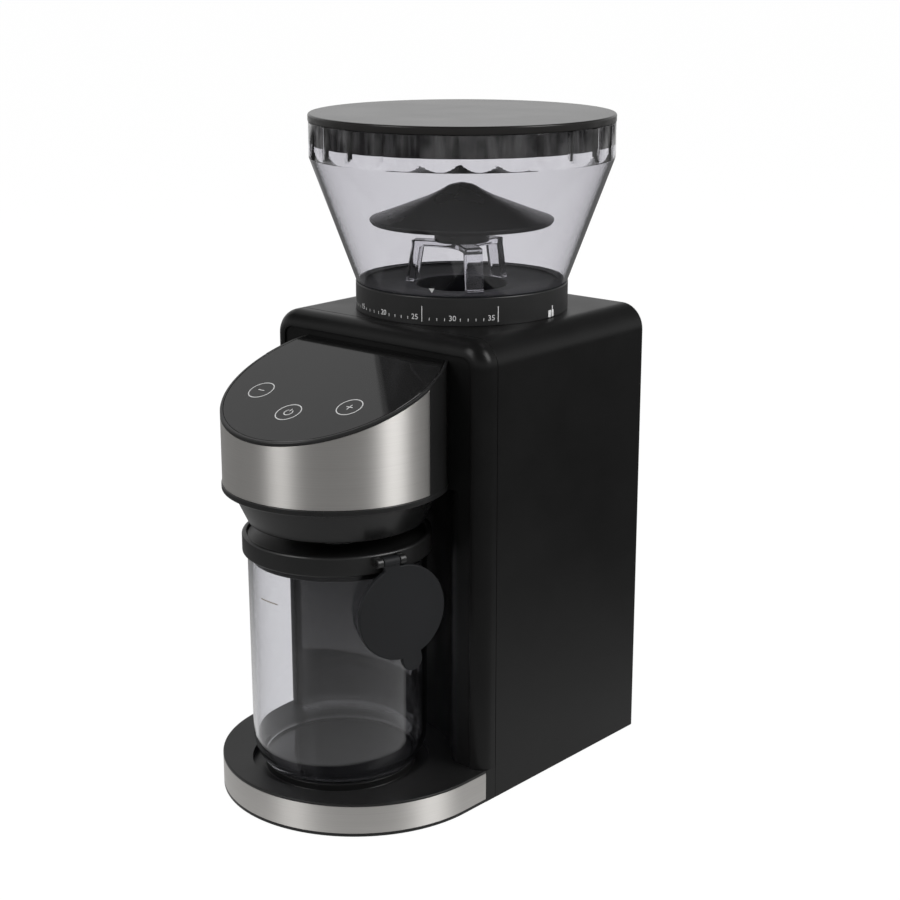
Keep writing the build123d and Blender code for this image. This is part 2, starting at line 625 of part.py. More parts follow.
def head_band():
    """Steel sheet wrapped round the head."""
    low = HEAD_BOTTOM + LIP_HEIGHT + SNUG / 2
    band = ring(HEAD_RADIUS, HEAD_RADIUS - STEEL, low, TOWER_TOP, JAR_AT)
    return band & below_panel(BAND_RIM + SNUG) & ahead_of(HEAD_BAND_Y - SNUG)


def touch_panel():
    """Glossy sloping plate with the touch keys behind it."""
    plate = disc(PANEL_RADIUS, HEAD_BOTTOM, TOWER_TOP, JAR_AT) & below_panel(0)
    return (plate - below_panel(PANEL_THICK - SNUG / 2)) & ahead_of(FACE_Y - SNUG)


def touch_board():
    """Circuit board pressed against the back of the touch panel."""
    top = PANEL_THICK - SNUG / 2
    board = disc(HEAD_RADIUS - HEAD_WALL - TOUCH_BOARD_INSET, HEAD_BOTTOM, TOWER_TOP, JAR_AT)
    board = (board & below_panel(top)) - below_panel(top + TOUCH_BOARD)
    return board & ahead_of(FACE_Y - TOUCH_BOARD_BACK)


def outlet_funnel():
    """Conical skirt under the head, round the spout."""
    top_radius = HEAD_RADIUS - FUNNEL_TOP_INSET
    foot_radius = HEAD_RADIUS - FUNNEL_FOOT_INSET
    floor = FUNNEL_LOW + FUNNEL_WALL
    return turned([(SPOUT_RADIUS + SNUG, FUNNEL_LOW), (foot_radius, FUNNEL_LOW), (top_radius, HEAD_BOTTOM),
                   (top_radius - FUNNEL_WALL, HEAD_BOTTOM), (foot_radius - FUNNEL_WALL, floor),
                   (SPOUT_RADIUS + SNUG, floor)], JAR_AT)


def grounds_chute():
    """Sloping channel from the grinding chamber to the spout over the jar."""
    start_y = HOPPER_Y - CHAMBER_RADIUS + CHUTE_ROOT
    high = CHAMBER_LOW + CHUTE_HEIGHT
    low = CHAMBER_LOW - SPOUT_WALL
    spout_top = high - CHUTE_FALL

    def channel(margin, reach):
        corners = [(JAR_Y, low - CHUTE_FALL + margin), (start_y + reach, low + margin),
                   (start_y + reach, high - margin), (JAR_Y, spout_top - margin)]
        side = make_face(Polyline(*corners, close=True))
        return extrude(Plane.YZ * side, CHUTE_WIDTH / 2 - margin, both=True)

    bore = SPOUT_RADIUS - SPOUT_WALL
    chute = channel(0, 0) + disc(SPOUT_RADIUS, FUNNEL_LOW, spout_top, JAR_AT)
    chute -= channel(SPOUT_WALL, CUT)
    chute -= disc(bore, FUNNEL_LOW - CUT, spout_top - SPOUT_WALL, JAR_AT)
    return chute - disc(CHAMBER_RADIUS + SNUG, FUNNEL_LOW, high + CUT, HOPPER_AT)


# Hopper


def grind_collar():
    """Fixed collar on the tower's top that carries the scale of grind settings."""
    floor = TOWER_TOP + COLLAR_FLOOR
    inner = COLLAR_RADIUS - COLLAR_WALL
    collar = turned([(COLLAR_BORE, FLANGE_TOP), (SPIGOT_RADIUS, FLANGE_TOP), (SPIGOT_RADIUS, TOWER_TOP),
                     (COLLAR_RADIUS, TOWER_TOP), (COLLAR_RADIUS, COLLAR_TOP), (inner, COLLAR_TOP),
                     (inner, floor), (COLLAR_BORE, floor)], HOPPER_AT)
    for place in FLANGE_SCREWS:
        collar -= disc(SCREW_RADIUS + SNUG / 2, FLANGE_TOP - CUT, floor - COLLAR_HOLE_SKIN, place)
    return collar


def hopper_bowl():
    """Clear bean hopper: a cone under a straight band, with a foot ring that is welded on the dish."""
    foot = COLLAR_RADIUS - HOPPER_INSET
    slope = (HOPPER_RADIUS - foot) / HOPPER_CONE
    inner = HOPPER_RADIUS - HOPPER_WALL
    floor = HOPPER_LOW + HOPPER_FOOT
    floor_radius = foot + slope * HOPPER_FOOT - HOPPER_WALL
    held = DISH_RADIUS - DISH_WALL
    return turned([(held, HOPPER_LOW), (foot, HOPPER_LOW), (HOPPER_RADIUS, HOPPER_BREAK),
                   (HOPPER_RADIUS, HOPPER_TOP), (inner, HOPPER_TOP), (inner, HOPPER_BREAK),
                   (floor_radius, floor), (held, floor)], HOPPER_AT)


def hopper_dish():
    """Dark floor of the hopper, with a rim, a throat and a neck that turns the burr carrier."""
    rim_top = HOPPER_LOW - SNUG
    inner = DISH_RADIUS - DISH_WALL
    dish = turned([(THROAT_RADIUS, NECK_LOW), (NECK_RADIUS, NECK_LOW), (NECK_RADIUS, DISH_LOW),
                   (DISH_RADIUS, DISH_LOW), (DISH_RADIUS, rim_top), (inner, rim_top),
                   (inner, DISH_TOP + DISH_SLOPE),
                   (THROAT_RADIUS + THROAT_FLAT, DISH_TOP), (THROAT_RADIUS, DISH_TOP)], HOPPER_AT)
    for side in SIDES:
        reach = sorted((side * (NECK_RADIUS - KEY_ROOT), side * (CARRIER_RADIUS - KEY_SHORT)))
        dish += block(reach, about(HOPPER_Y, KEY_WIDTH), (NECK_LOW, NECK_LOW + KEY_HEIGHT))
    return dish


def guard_bridge():
    """Clear bridge on three leaning legs that carries the bean guard over the throat."""
    top = DISH_TOP + BRIDGE_HEIGHT
    low = top - BRIDGE_PLATE
    near = -THROAT_RADIUS - LEG_SETBACK
    far = near - LEG_DEPTH
    foot = DISH_TOP + SNUG
    hub = -BOSS_RADIUS / 2
    side = Polyline((far, foot), (far + LEG_LEAN, top), (hub, top), (hub, low), (near + LEG_LEAN, low),
                    (near, foot), close=True)
    arm = extrude(Plane.YZ * make_face(side), LEG_WIDTH / 2, both=True)
    bridge = disc(BOSS_RADIUS - BRIDGE_INSET, low, top, HOPPER_AT)
    for step in range(LEG_COUNT):
        turn = LEG_AZIMUTH + step * 360 / LEG_COUNT
        bridge += Pos(*HOPPER_AT, 0) * Rot(0, 0, turn) * arm
    return bridge


def bean_guard():
    """Dark hollow cone that keeps fingers out of the throat and spreads the beans."""
    foot = DISH_TOP + BRIDGE_HEIGHT + SNUG
    apex = GUARD_LOW + GUARD_RISE
    edge = GUARD_LOW + GUARD_EDGE
    brim = (GUARD_RADIUS - GUARD_BRIM, edge + GUARD_BRIM_RISE)
    crown = (GUARD_CROWN, apex - GUARD_CROWN_DROP)
    tip = (GUARD_TIP, apex - GUARD_TIP_DROP)
    fall = (crown[1] - brim[1]) / (brim[0] - crown[0])
    boss_top = crown[1] - (BOSS_RADIUS - GUARD_CROWN) * fall - GUARD_WALL
    return turned([(0, foot), (BOSS_RADIUS, foot), (BOSS_RADIUS, boss_top), (brim[0], brim[1] - GUARD_WALL),
                   (GUARD_RADIUS - GUARD_EDGE, GUARD_LOW), (GUARD_RADIUS, edge), brim, crown, tip, (0, apex)],
                  HOPPER_AT)


def hopper_lid():
    """Disc lid with a skirt that drops into the hopper."""
    top = LID_LOW + LID_THICK
    skirt_low = LID_LOW - SKIRT_DROP
    inner = SKIRT_RADIUS - SKIRT_WALL
    under = LID_LOW + LID_HOLLOW
    edge = LID_RADIUS - LID_ROUND
    return turned([(0, under), (inner, under), (inner, skirt_low), (SKIRT_RADIUS, skirt_low),
                   (SKIRT_RADIUS, LID_LOW), (edge, LID_LOW), (LID_RADIUS, LID_LOW + LID_ROUND),
                   (LID_RADIUS, top - LID_ROUND), (edge, top), (0, top)], HOPPER_AT)


# Burrs and chamber


def burr_carrier():
    """Threaded ring that holds the outer burr and climbs as the hopper turns."""
    shelf_low = CARRIER_LOW + RING_BURR_HEIGHT
    carrier = ring(CARRIER_RADIUS, CARRIER_BORE, CARRIER_LOW, CARRIER_TOP, HOPPER_AT)
    shelf_top = shelf_low + CARRIER_SHELF
    carrier += ring(CARRIER_BORE + CUT, CARRIER_BORE - SHELF_WIDTH, shelf_low, shelf_top, HOPPER_AT)
    key_way = about(HOPPER_Y, KEY_WIDTH + 2 * LOOSE)
    slot = block((-BIG, BIG), key_way, (NECK_LOW - SLOT_ROOM, CARRIER_TOP + CUT))
    return carrier - (slot - disc(THROAT_RADIUS, FUNNEL_LOW, COLLAR_TOP, HOPPER_AT))


def burr_radius(height):
    """The inner burr's radius at a height."""
    return BURR_RADIUS - (BURR_RADIUS - BURR_TOP_RADIUS) * (height - BURR_LOW) / BURR_HEIGHT


def ring_burr():
    """Outer burr: close to the inner burr below, wide open above."""
    low = CARRIER_LOW
    high = CARRIER_LOW + RING_BURR_HEIGHT - SNUG
    waist = low + RING_BURR_WAIST
    outer = CARRIER_BORE - SNUG
    return turned([(burr_radius(low) + BURR_GAP, low), (outer, low), (outer, high),
                   (outer - RING_BURR_TOP, high), (burr_radius(waist) + BURR_GAP, waist)], HOPPER_AT)


def inner_burr():
    """Cone burr with slanting flutes."""
    burr = turned([(SHAFT_RADIUS, BURR_LOW), (BURR_RADIUS, BURR_LOW), (BURR_TOP_RADIUS, BURR_TOP),
                   (SHAFT_RADIUS, BURR_TOP)], HOPPER_AT)
    middle = (BURR_LOW + BURR_TOP) / 2
    taper = math.degrees(math.atan2(BURR_RADIUS - BURR_TOP_RADIUS, BURR_HEIGHT))
    cutter = Rot(FLUTE_LEAN, 0, 0) * Box(BURR_RADIUS, FLUTE_WIDTH, 2 * BURR_HEIGHT)
    out = burr_radius(middle) - FLUTE_DEPTH + BURR_RADIUS / 2
    for step in range(BURR_FLUTES):
        turn = Pos(*HOPPER_AT, middle) * Rot(0, 0, step * 360 / BURR_FLUTES)
        burr -= turn * Pos(out, 0, 0) * Rot(0, -taper, 0) * cutter
    return burr


def burr_nut():
    """Hexagon nut that holds the inner burr on the shaft."""
    nut = extrude(Pos(*HOPPER_AT, BURR_TOP) * RegularPolygon(NUT_RADIUS, 6), NUT_HEIGHT)
    return nut - disc(SHAFT_RADIUS, BURR_TOP - CUT, BURR_TOP + NUT_HEIGHT + CUT, HOPPER_AT)


def impeller():
    """Disc with paddles that sweeps the grounds to the chute."""
    wheel = disc(IMPELLER_RADIUS, IMPELLER_LOW, IMPELLER_LOW + IMPELLER_DISC, HOPPER_AT)
    wheel += disc(IMPELLER_HUB, IMPELLER_LOW, IMPELLER_TOP, HOPPER_AT)
    span = (IMPELLER_HUB - CUT, IMPELLER_RADIUS - CUT)
    for step in range(PADDLES):
        paddle = block(span, about(0, PADDLE_WIDTH), (IMPELLER_LOW, IMPELLER_TOP))
        wheel += Pos(*HOPPER_AT, 0) * Rot(0, 0, (step + 0.5) * 360 / PADDLES) * paddle
    return wheel - disc(SHAFT_RADIUS, IMPELLER_LOW - CUT, IMPELLER_TOP + CUT, HOPPER_AT)


def burr_shaft():
    """Steel shaft from the output gear up to the burr nut, with a spacer under the inner burr."""
    shaft = disc(SHAFT_RADIUS, OUTPUT_LOW - SHAFT_END, BURR_TOP + NUT_HEIGHT + SHAFT_END, HOPPER_AT)
    return shaft + disc(SPACER_RADIUS, IMPELLER_TOP, BURR_LOW, HOPPER_AT)


def chamber_body():
    """Grinding chamber under the tower's top, standing on the gearbox by three pillars."""
    floor_low = CHAMBER_LOW - CHAMBER_FLOOR
    body = turned([(BEARING_RADIUS, floor_low), (CHAMBER_RADIUS, floor_low), (CHAMBER_RADIUS, FLANGE_LOW),
                   (FLANGE_RADIUS, FLANGE_LOW), (FLANGE_RADIUS, FLANGE_TOP), (CHAMBER_BORE, FLANGE_TOP),
                   (CHAMBER_BORE, CHAMBER_STEP), (IMPELLER_BORE, CHAMBER_STEP), (IMPELLER_BORE, CHAMBER_LOW),
                   (BEARING_RADIUS, CHAMBER_LOW)], HOPPER_AT)
    seat = BEARING_RADIUS + BEARING_SEAT
    body += ring(seat, BEARING_RADIUS, CHAMBER_LOW - BEARING_HEIGHT, CHAMBER_LOW, HOPPER_AT)
    for place in PILLARS:
        body += disc(PILLAR_RADIUS, GEARBOX_TOP, floor_low + SNUG, place)
    outlet = (HOPPER_Y - 2 * CHAMBER_RADIUS, HOPPER_Y - IMPELLER_BORE / 2)
    body -= block(about(0, CHUTE_WIDTH - 2 * SPOUT_WALL), outlet, (CHAMBER_LOW, CHAMBER_STEP))
    for place in FLANGE_SCREWS:
        body -= disc(SCREW_RADIUS + 2 * SNUG, FLANGE_LOW - CUT, FLANGE_TOP + CUT, place)
    return body


def chamber_screws():
    """Screws up through the chamber's flange into the collar."""
    tip = TOWER_TOP + COLLAR_FLOOR - COLLAR_HOLE_SKIN - SCREW_TIP

    def screw(place):
        head = disc(SCREW_HEAD_RADIUS, FLANGE_LOW - PAN_HEAD, FLANGE_LOW, place)
        return head + disc(SCREW_RADIUS, FLANGE_LOW, tip, place)

    return together(screw(place) for place in FLANGE_SCREWS)


def bearing(high):
    """Plain bearing ring for the burr shaft, hung from a height."""
    return ring(BEARING_RADIUS, SHAFT_RADIUS + RUNNING, high - BEARING_HEIGHT, high, HOPPER_AT)


def lower_bearing():
    """Burr shaft's bearing in the gearbox cover."""
    return bearing(GEARBOX_TOP)


def upper_bearing():
    """Burr shaft's bearing in the chamber's floor."""
    return bearing(CHAMBER_LOW)


# Gear train


def gear(teeth, low, high, at, turn):
    """A spur gear on a vertical axis, with a tooth at a turn measured from +X."""
    pitch = MODULE * teeth / 2
    tip = pitch + TOOTH_TIP * MODULE
    root = pitch - TOOTH_ROOT * MODULE
    half_tip = HALF_TIP * MODULE / tip
    half_root = HALF_ROOT * MODULE / root
    flank = ((root, -half_root), (tip, -half_tip), (tip, half_tip), (root, half_root))
    points = []
    for tooth in range(teeth):
        middle = math.radians(turn) + 2 * math.pi * tooth / teeth
        for radius, angle in flank:
            points.append((radius * math.cos(middle + angle), radius * math.sin(middle + angle)))
    return Pos(*at, low) * extrude(make_face(Polyline(*points, close=True)), high - low)


def output_gear():
    """Large gear on the burr shaft."""
    wheel = gear(OUTPUT_TEETH, OUTPUT_LOW, OUTPUT_TOP, HOPPER_AT, 90)
    return wheel - disc(SHAFT_RADIUS, OUTPUT_LOW - CUT, OUTPUT_TOP + CUT, HOPPER_AT)


def idler_gear():
    """Double gear between the motor and the output gear."""
    large = gear(IDLER_LARGE_TEETH, PINION_LOW, PINION_TOP, IDLER_AT, -90 + 180 / IDLER_LARGE_TEETH)
    small = gear(IDLER_SMALL_TEETH, PINION_TOP, OUTPUT_TOP, IDLER_AT, -90 + 180 / IDLER_SMALL_TEETH)
    return large + small - disc(AXLE_RADIUS + RUNNING, CASE_LOW, GEARBOX_TOP, IDLER_AT)


def motor_pinion():
    """Small gear on the motor's shaft."""
    pinion = gear(MOTOR_TEETH, PINION_LOW, PINION_TOP, HOPPER_AT, 90)
    return pinion - disc(MOTOR_SHAFT_RADIUS, PINION_LOW - CUT, PINION_TOP + CUT, HOPPER_AT)


def idler_axle():
    """Fixed pin that the idler gear turns on."""
    return disc(AXLE_RADIUS, CASE_LOW, COVER_LOW, IDLER_AT)


def gearbox_slab(radius, low, high):
    """The gearbox's outline, round at both gear axes, given a height."""
    straight = block((-radius, radius), (HOPPER_Y, IDLER_Y), (low, high))
    return disc(radius, low, high, HOPPER_AT) + disc(radius, low, high, IDLER_AT) + straight


def gearbox_case():
    """Lower half of the gearbox, with the motor under its floor."""
    case = gearbox_slab(CASE_RADIUS, CASE_LOW, COVER_LOW)
    for ear in EARS:
        case += disc(SCREW_RADIUS + BOSS_WALL, CASE_LOW, COVER_LOW, ear)
    case -= gearbox_slab(CASE_INSIDE, CASE_LOW + CASE_FLOOR, COVER_LOW + CUT)
    case -= disc(MOTOR_SHAFT_RADIUS + MOTOR_SHAFT_ROOM, CASE_LOW - CUT, COVER_LOW, HOPPER_AT)
    case -= disc(AXLE_RADIUS, CASE_LOW - CUT, COVER_LOW, IDLER_AT)
    for ear in EARS:
        case -= disc(SCREW_RADIUS + SNUG / 2, CASE_LOW + CASE_FLOOR, COVER_LOW + CUT, ear)
    for place in MOTOR_SCREWS:
        case -= disc(SCREW_RADIUS + SNUG / 2, CASE_LOW - CUT, COVER_LOW, place)
    return case


def gearbox_cover():
    """Upper half of the gearbox, with the lower bearing's seat."""
    cover = gearbox_slab(CASE_RADIUS, COVER_LOW, GEARBOX_TOP)
    for ear in EARS:
        cover += disc(SCREW_RADIUS + BOSS_WALL, COVER_LOW, GEARBOX_TOP, ear)
        cover -= disc(SCREW_RADIUS + 2 * SNUG, COVER_LOW - CUT, GEARBOX_TOP + CUT, ear)
    seat_low = GEARBOX_TOP - BEARING_HEIGHT
    cover += disc(BEARING_RADIUS + BEARING_SEAT, seat_low, GEARBOX_TOP, HOPPER_AT)
    return cover - disc(BEARING_RADIUS, seat_low - CUT, GEARBOX_TOP + CUT, HOPPER_AT)


def gearbox_screws():
    """Screws that close the gearbox."""
    def screw(place):
        head = disc(SCREW_HEAD_RADIUS, GEARBOX_TOP, GEARBOX_TOP + PAN_HEAD, place)
        return head + disc(SCREW_RADIUS, COVER_LOW - SCREW_BITE, GEARBOX_TOP, place)

    return together(screw(place) for place in EARS)


# Motor


def motor_can():
    """Steel can of the motor."""
    can = disc(MOTOR_RADIUS, MOTOR_LOW + MOTOR_CAP, CASE_LOW, HOPPER_AT)
    can -= disc(MOTOR_RADIUS - MOTOR_WALL, MOTOR_LOW, CASE_LOW - MOTOR_PLATE, HOPPER_AT)
    can -= disc(MOTOR_SHAFT_RADIUS + RUNNING, MOTOR_LOW, CASE_LOW + CUT, HOPPER_AT)
    for place in MOTOR_SCREWS:
        can -= disc(SCREW_RADIUS + SNUG / 2, CASE_LOW - MOTOR_PLATE - CUT, CASE_LOW + CUT, place)
    return can


def motor_end_cap():
    """Plastic cap that closes the motor, with two terminals and the shaft's lower bearing."""
    top = MOTOR_LOW + MOTOR_CAP
    cap = disc(MOTOR_RADIUS, MOTOR_LOW, top, HOPPER_AT)
    cap += disc(MOTOR_RADIUS - MOTOR_WALL - SNUG, MOTOR_LOW, top + CAP_SPIGOT, HOPPER_AT)
    wide, thick, drop = TERMINAL
    for side in SIDES:
        heights = (MOTOR_LOW - drop, MOTOR_LOW + CUT)
        cap += block(about(side * TERMINAL_X, wide), about(HOPPER_Y, thick), heights)
    return cap - disc(MOTOR_SHAFT_RADIUS + RUNNING, MOTOR_LOW + CAP_SKIN, CASE_LOW, HOPPER_AT)


def motor_screws():
    """Screws that hold the motor under the gearbox."""
    floor = CASE_LOW + CASE_FLOOR

    def screw(place):
        head = disc(SCREW_HEAD_RADIUS, floor, floor + PAN_HEAD, place)
        return head + disc(SCREW_RADIUS, CASE_LOW - MOTOR_PLATE, floor, place)

    return together(screw(place) for place in MOTOR_SCREWS)


def motor_armature():
    """Motor's shaft with its wound core and commutator."""
    spigot_top = MOTOR_LOW + MOTOR_CAP + CAP_SPIGOT
    commutator = spigot_top + COMMUTATOR_LIFT
    core_low = commutator + COMMUTATOR_HEIGHT
    core_top = CASE_LOW - MOTOR_PLATE - ARMATURE_GAP
    shaft = disc(MOTOR_SHAFT_RADIUS, MOTOR_LOW + CAP_SKIN + LOOSE, PINION_TOP + SHAFT_END, HOPPER_AT)
    core = disc(ARMATURE_RADIUS, core_low, core_top, HOPPER_AT)
    depth, width = ARMATURE_SLOT
    for step in range(ARMATURE_SLOTS):
        slot = block((ARMATURE_RADIUS - depth, ARMATURE_RADIUS + CUT), about(0, width), (MOTOR_LOW, CASE_LOW))
        core -= Pos(*HOPPER_AT, 0) * Rot(0, 0, step * 360 / ARMATURE_SLOTS) * slot
    return shaft + core + disc(COMMUTATOR_RADIUS, commutator, core_low, HOPPER_AT)


# Electrics


def power_board():
    """Power supply board on the inside of the back wall."""
    back = BACK_Y - WALL - STANDOFF
    front = back - BOARD_THICK
    board = block(about(0, BOARD_WIDTH), (front, back), (BOARD_LOW, BOARD_TOP))
    for x, z, radius, length in CAPACITORS:
        board += along_y(radius, front - length, front, x, BOARD_LOW + z)
    for x, z, wide, tall, deep in BLOCKS:
        board += block(about(x, wide), (front - deep, front), about(BOARD_LOW + z, tall))
    return board


def hopper_switch():
    """Safety switch under the chamber's flange that feels whether the hopper is on."""
    wide, deep, tall = SWITCH_SIZE
    prong_wide, prong_thick, prong_drop = PRONG
    near = HOPPER_Y + CHAMBER_RADIUS + SWITCH_GAP
    low = FLANGE_LOW - tall
    switch = block(about(0, wide), (near, near + deep), (low, FLANGE_LOW))
    for step in (-1, 0, 1):
        middle = about(near + deep / 2, prong_thick)
        switch += block(about(step * PRONG_PITCH, prong_wide), middle, (low - prong_drop, low))
    return switch


def cord_inlet():
    """Bush in the back wall where the mains lead goes in."""
    wall_y = BACK_Y - WALL
    outside = BACK_Y + INLET_PROUD
    inside = wall_y - INLET_TAIL

    def barrel(radius, front, back):
        return along_y(radius, front, back, INLET_X, INLET_Z)

    bush = barrel(INLET_RADIUS, inside, outside)
    bush += barrel(INLET_RADIUS + INLET_FLANGE, BACK_Y + SNUG / 2, outside)
    bush += barrel(INLET_RADIUS + INLET_FLANGE, inside, wall_y - SNUG / 2)
    return bush - barrel(INLET_BORE, inside - CUT, outside + CUT)


# Jar


def jar_profile(inset, top):
    """A solid of the jar's outline, drawn in by an inset."""
    foot_radius = JAR_RADIUS - JAR_TAPER
    curve_top = JAR_LOW + JAR_CURVE_HEIGHT
    curve_middle = foot_radius - JAR_CURVE_RADIUS
    radius = JAR_CURVE_RADIUS - inset
    low = JAR_LOW + inset
    toe = low + JAR_TOE
    half_way = (curve_top + toe) / 2

    def on_curve(height):
        return (curve_middle + math.sqrt(radius ** 2 - (curve_top - height) ** 2), height)

    sole = min(JAR_FOOT_RADIUS - inset, on_curve(toe)[0] - SNUG)
    wall_foot = (foot_radius - inset, curve_top)
    lines = Polyline((0, top), (0, low), (sole, low), on_curve(toe))
    lines += ThreePointArc(on_curve(toe), on_curve(half_way), wall_foot)
    lines += Polyline(wall_foot, (JAR_RADIUS - inset, top), (0, top))
    return Pos(*JAR_AT, 0) * revolve(Plane.XZ * make_face(lines), Axis.Z)


def jar_cup():
    """Clear jar with a curved foot."""
    return jar_profile(0.0, JAR_TOP) - jar_profile(JAR_WALL, JAR_TOP + CUT)


def at_hinge(solid):
    """Places a solid drawn with the hinge along X at the origin and the outside towards -Y."""
    return Pos(*polar(HINGE_RADIUS, FLAP_AZIMUTH, JAR_AT), HINGE_Z) * Rot(0, 0, FLAP_AZIMUTH) * solid


def hinge_barrel(radius, start, end):
    """A round bar along the hinge."""
    return Pos((start + end) / 2, 0, 0) * Rot(0, 90, 0) * Cylinder(radius, end - start)


def jar_lid():
    """Black lid of the jar with a raised rim, a pouring hole, and two lugs for the flap's hinge."""
    low = JAR_TOP - LID_GRIP
    plate_low = JAR_TOP + SNUG
    plate_top = plate_low + LID_PLATE
    plug_low = JAR_TOP - PLUG_DEPTH
    plug_inner = PLUG_RADIUS - PLUG_WALL
    grip = JAR_RADIUS + LID_FIT
    edge = JAR_LID_RADIUS - LID_ROUND
    bead = JAR_LID_RADIUS - LID_BEAD
    lid = turned([(POUR_RADIUS, plate_low), (plug_inner, plate_low), (plug_inner, plug_low),
                  (PLUG_RADIUS, plug_low), (PLUG_RADIUS, plate_low), (grip, plate_low), (grip, low),
                  (edge, low), (JAR_LID_RADIUS, low + LID_ROUND), (JAR_LID_RADIUS, JAR_LID_TOP - LID_ROUND),
                  (edge, JAR_LID_TOP), (bead, JAR_LID_TOP), (bead, plate_top), (POUR_RADIUS, plate_top)],
                 JAR_AT)
    for side in SIDES:
        span = sorted((side * LUG_START, side * LUG_END))
        lug = hinge_barrel(KNUCKLE, *span) + block(span, (0, HINGE_OUT + LID_RIM), (-KNUCKLE, KNUCKLE))
        lid += at_hinge(lug) - disc(JAR_LID_RADIUS - LID_RIM / 2, 0, TOWER_TOP, JAR_AT)
    return lid - at_hinge(hinge_barrel(FLAP_PIN, -2 * LUG_END, 2 * LUG_END))


def jar_seal():
    """Soft ring between the lid's plug and the jar."""
    high = JAR_TOP - PLUG_DEPTH / 2
    return ring(PLUG_RADIUS + SEAL_WIDTH, PLUG_RADIUS, high - SEAL_HEIGHT, high, JAR_AT)


def flap_pin():
    """Hinge pin of the flap."""
    return at_hinge(hinge_barrel(FLAP_PIN, -LUG_END, LUG_END))


def jar_flap():
    """Soft flap that hangs beside the jar, with a strap and a finger tab."""
    face = about(0, FLAP_THICK)
    flap_low = -FLAP_ARM - FLAP_RADIUS
    tab_z = flap_low - TAB_REACH + TAB_RADIUS
    flap = along_y(FLAP_RADIUS, *face, 0, -FLAP_ARM) + along_y(TAB_RADIUS, *face, 0, tab_z)
    flap += block(about(0, 2 * TAB_RADIUS), face, (tab_z, flap_low + TAB_RADIUS))
    flap = Rot(0, -FLAP_TILT, 0) * flap
    flap += block((-STRAP_HALF, STRAP_HALF), face, (-FLAP_NECK - STRAP_ROOT, 0))
    flap += hinge_barrel(KNUCKLE, -STRAP_HALF, STRAP_HALF)
    return at_hinge(flap - hinge_barrel(FLAP_PIN + RUNNING, -LUG_END, LUG_END))


PIECES = [
    rear_housing, front_housing, base_tray, base_band, bottom_plate, rubber_feet, base_screws,
    head_shell, head_band, touch_panel, touch_board, outlet_funnel, grounds_chute,
    grind_collar, hopper_bowl, hopper_dish, guard_bridge, bean_guard, hopper_lid,
    burr_carrier, ring_burr, inner_burr, burr_nut, impeller, burr_shaft, output_gear, idler_gear,
    motor_pinion, idler_axle, gearbox_case, gearbox_cover, gearbox_screws, lower_bearing, upper_bearing,
    chamber_body, chamber_screws, motor_can, motor_end_cap, motor_screws, motor_armature,
    power_board, hopper_switch, cord_inlet, jar_cup, jar_lid, jar_seal, flap_pin, jar_flap,
]

os.makedirs("parts", exist_ok=True)
for piece in PIECES:
    export_step(piece(), f"parts/{piece.__name__}.step")
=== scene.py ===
from collections import namedtuple
from math import asin, atan2, cos, degrees, hypot, pi, radians, sin, sqrt, tan, tau

import bmesh
import bpy
from mathutils import Matrix, Vector

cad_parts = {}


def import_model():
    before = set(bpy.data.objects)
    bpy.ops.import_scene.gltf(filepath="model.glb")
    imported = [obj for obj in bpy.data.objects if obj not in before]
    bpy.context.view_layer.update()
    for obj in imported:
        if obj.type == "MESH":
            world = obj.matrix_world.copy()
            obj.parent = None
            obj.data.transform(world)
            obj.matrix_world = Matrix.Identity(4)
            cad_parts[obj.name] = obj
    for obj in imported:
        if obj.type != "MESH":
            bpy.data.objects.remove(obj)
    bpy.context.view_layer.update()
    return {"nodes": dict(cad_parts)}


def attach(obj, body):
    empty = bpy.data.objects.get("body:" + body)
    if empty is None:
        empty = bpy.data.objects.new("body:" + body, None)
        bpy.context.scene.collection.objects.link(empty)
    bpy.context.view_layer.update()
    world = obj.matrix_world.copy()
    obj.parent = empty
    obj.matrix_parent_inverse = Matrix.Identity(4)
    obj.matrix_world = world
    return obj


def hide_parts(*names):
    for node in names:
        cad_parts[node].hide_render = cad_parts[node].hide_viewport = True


# Looks of a burr coffee grinder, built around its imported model. Meshes are drawn in millimetres and
# scaled to metres when a piece is made. +Z is up and the front looks along -Y. An azimuth counts from
# the front towards the right side.

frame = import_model()

MM = 0.001
WELD = 0.002  # points nearer than this are one
HAIR = 0.04  # how far a print stands on its surface
ROUND_STEPS = 128
ARC_STEPS = 4  # fewest steps of an arc or a rounded corner
ARC_DEGREES = 3  # degrees to a step of an arc
LEVEL = 0.9  # a face is level if its normal is more upright than this

# Camera
EYE = (558.78, -624.76, 385.11)
YAW = 40.69
PITCH = 15.48
LENS = 73.45
SENSOR = 36.0

# Places
JAR_AT = (0.0, -53.75)
HOPPER_AT = (0.0, 33.75)
JAR_Y = JAR_AT[1]
HOPPER_Y = HOPPER_AT[1]

# Tower
FOOT_HEIGHT = 1.5
BODY_LOW = 0.6  # lower edge of the outer shells, close above the floor
TOWER_HALF = 65.0
TOWER_TOP = 217.6
FRONT_Y = -28.25
FACE_Y = -27.25
SEAM_Y = -18.25
BACK_Y = 92.25
SEAM_GAP = 0.1
WALL = 2.5
TOP_ROUND = 12.0
BACK_ROUND = 1.5
FRAME_WIDTH = 7.5
FRAME_ROUND = 7.1
FRAME_SUNK = 1.2  # how far the frame reaches behind the face
TONGUE = 3.0
TONGUE_WALL = 1.5
BAY_RADIUS = 52.0
BAY_ROUND = 12.0
COLLAR_HOLE = 44.9
SEAM_SOFT = 0.4

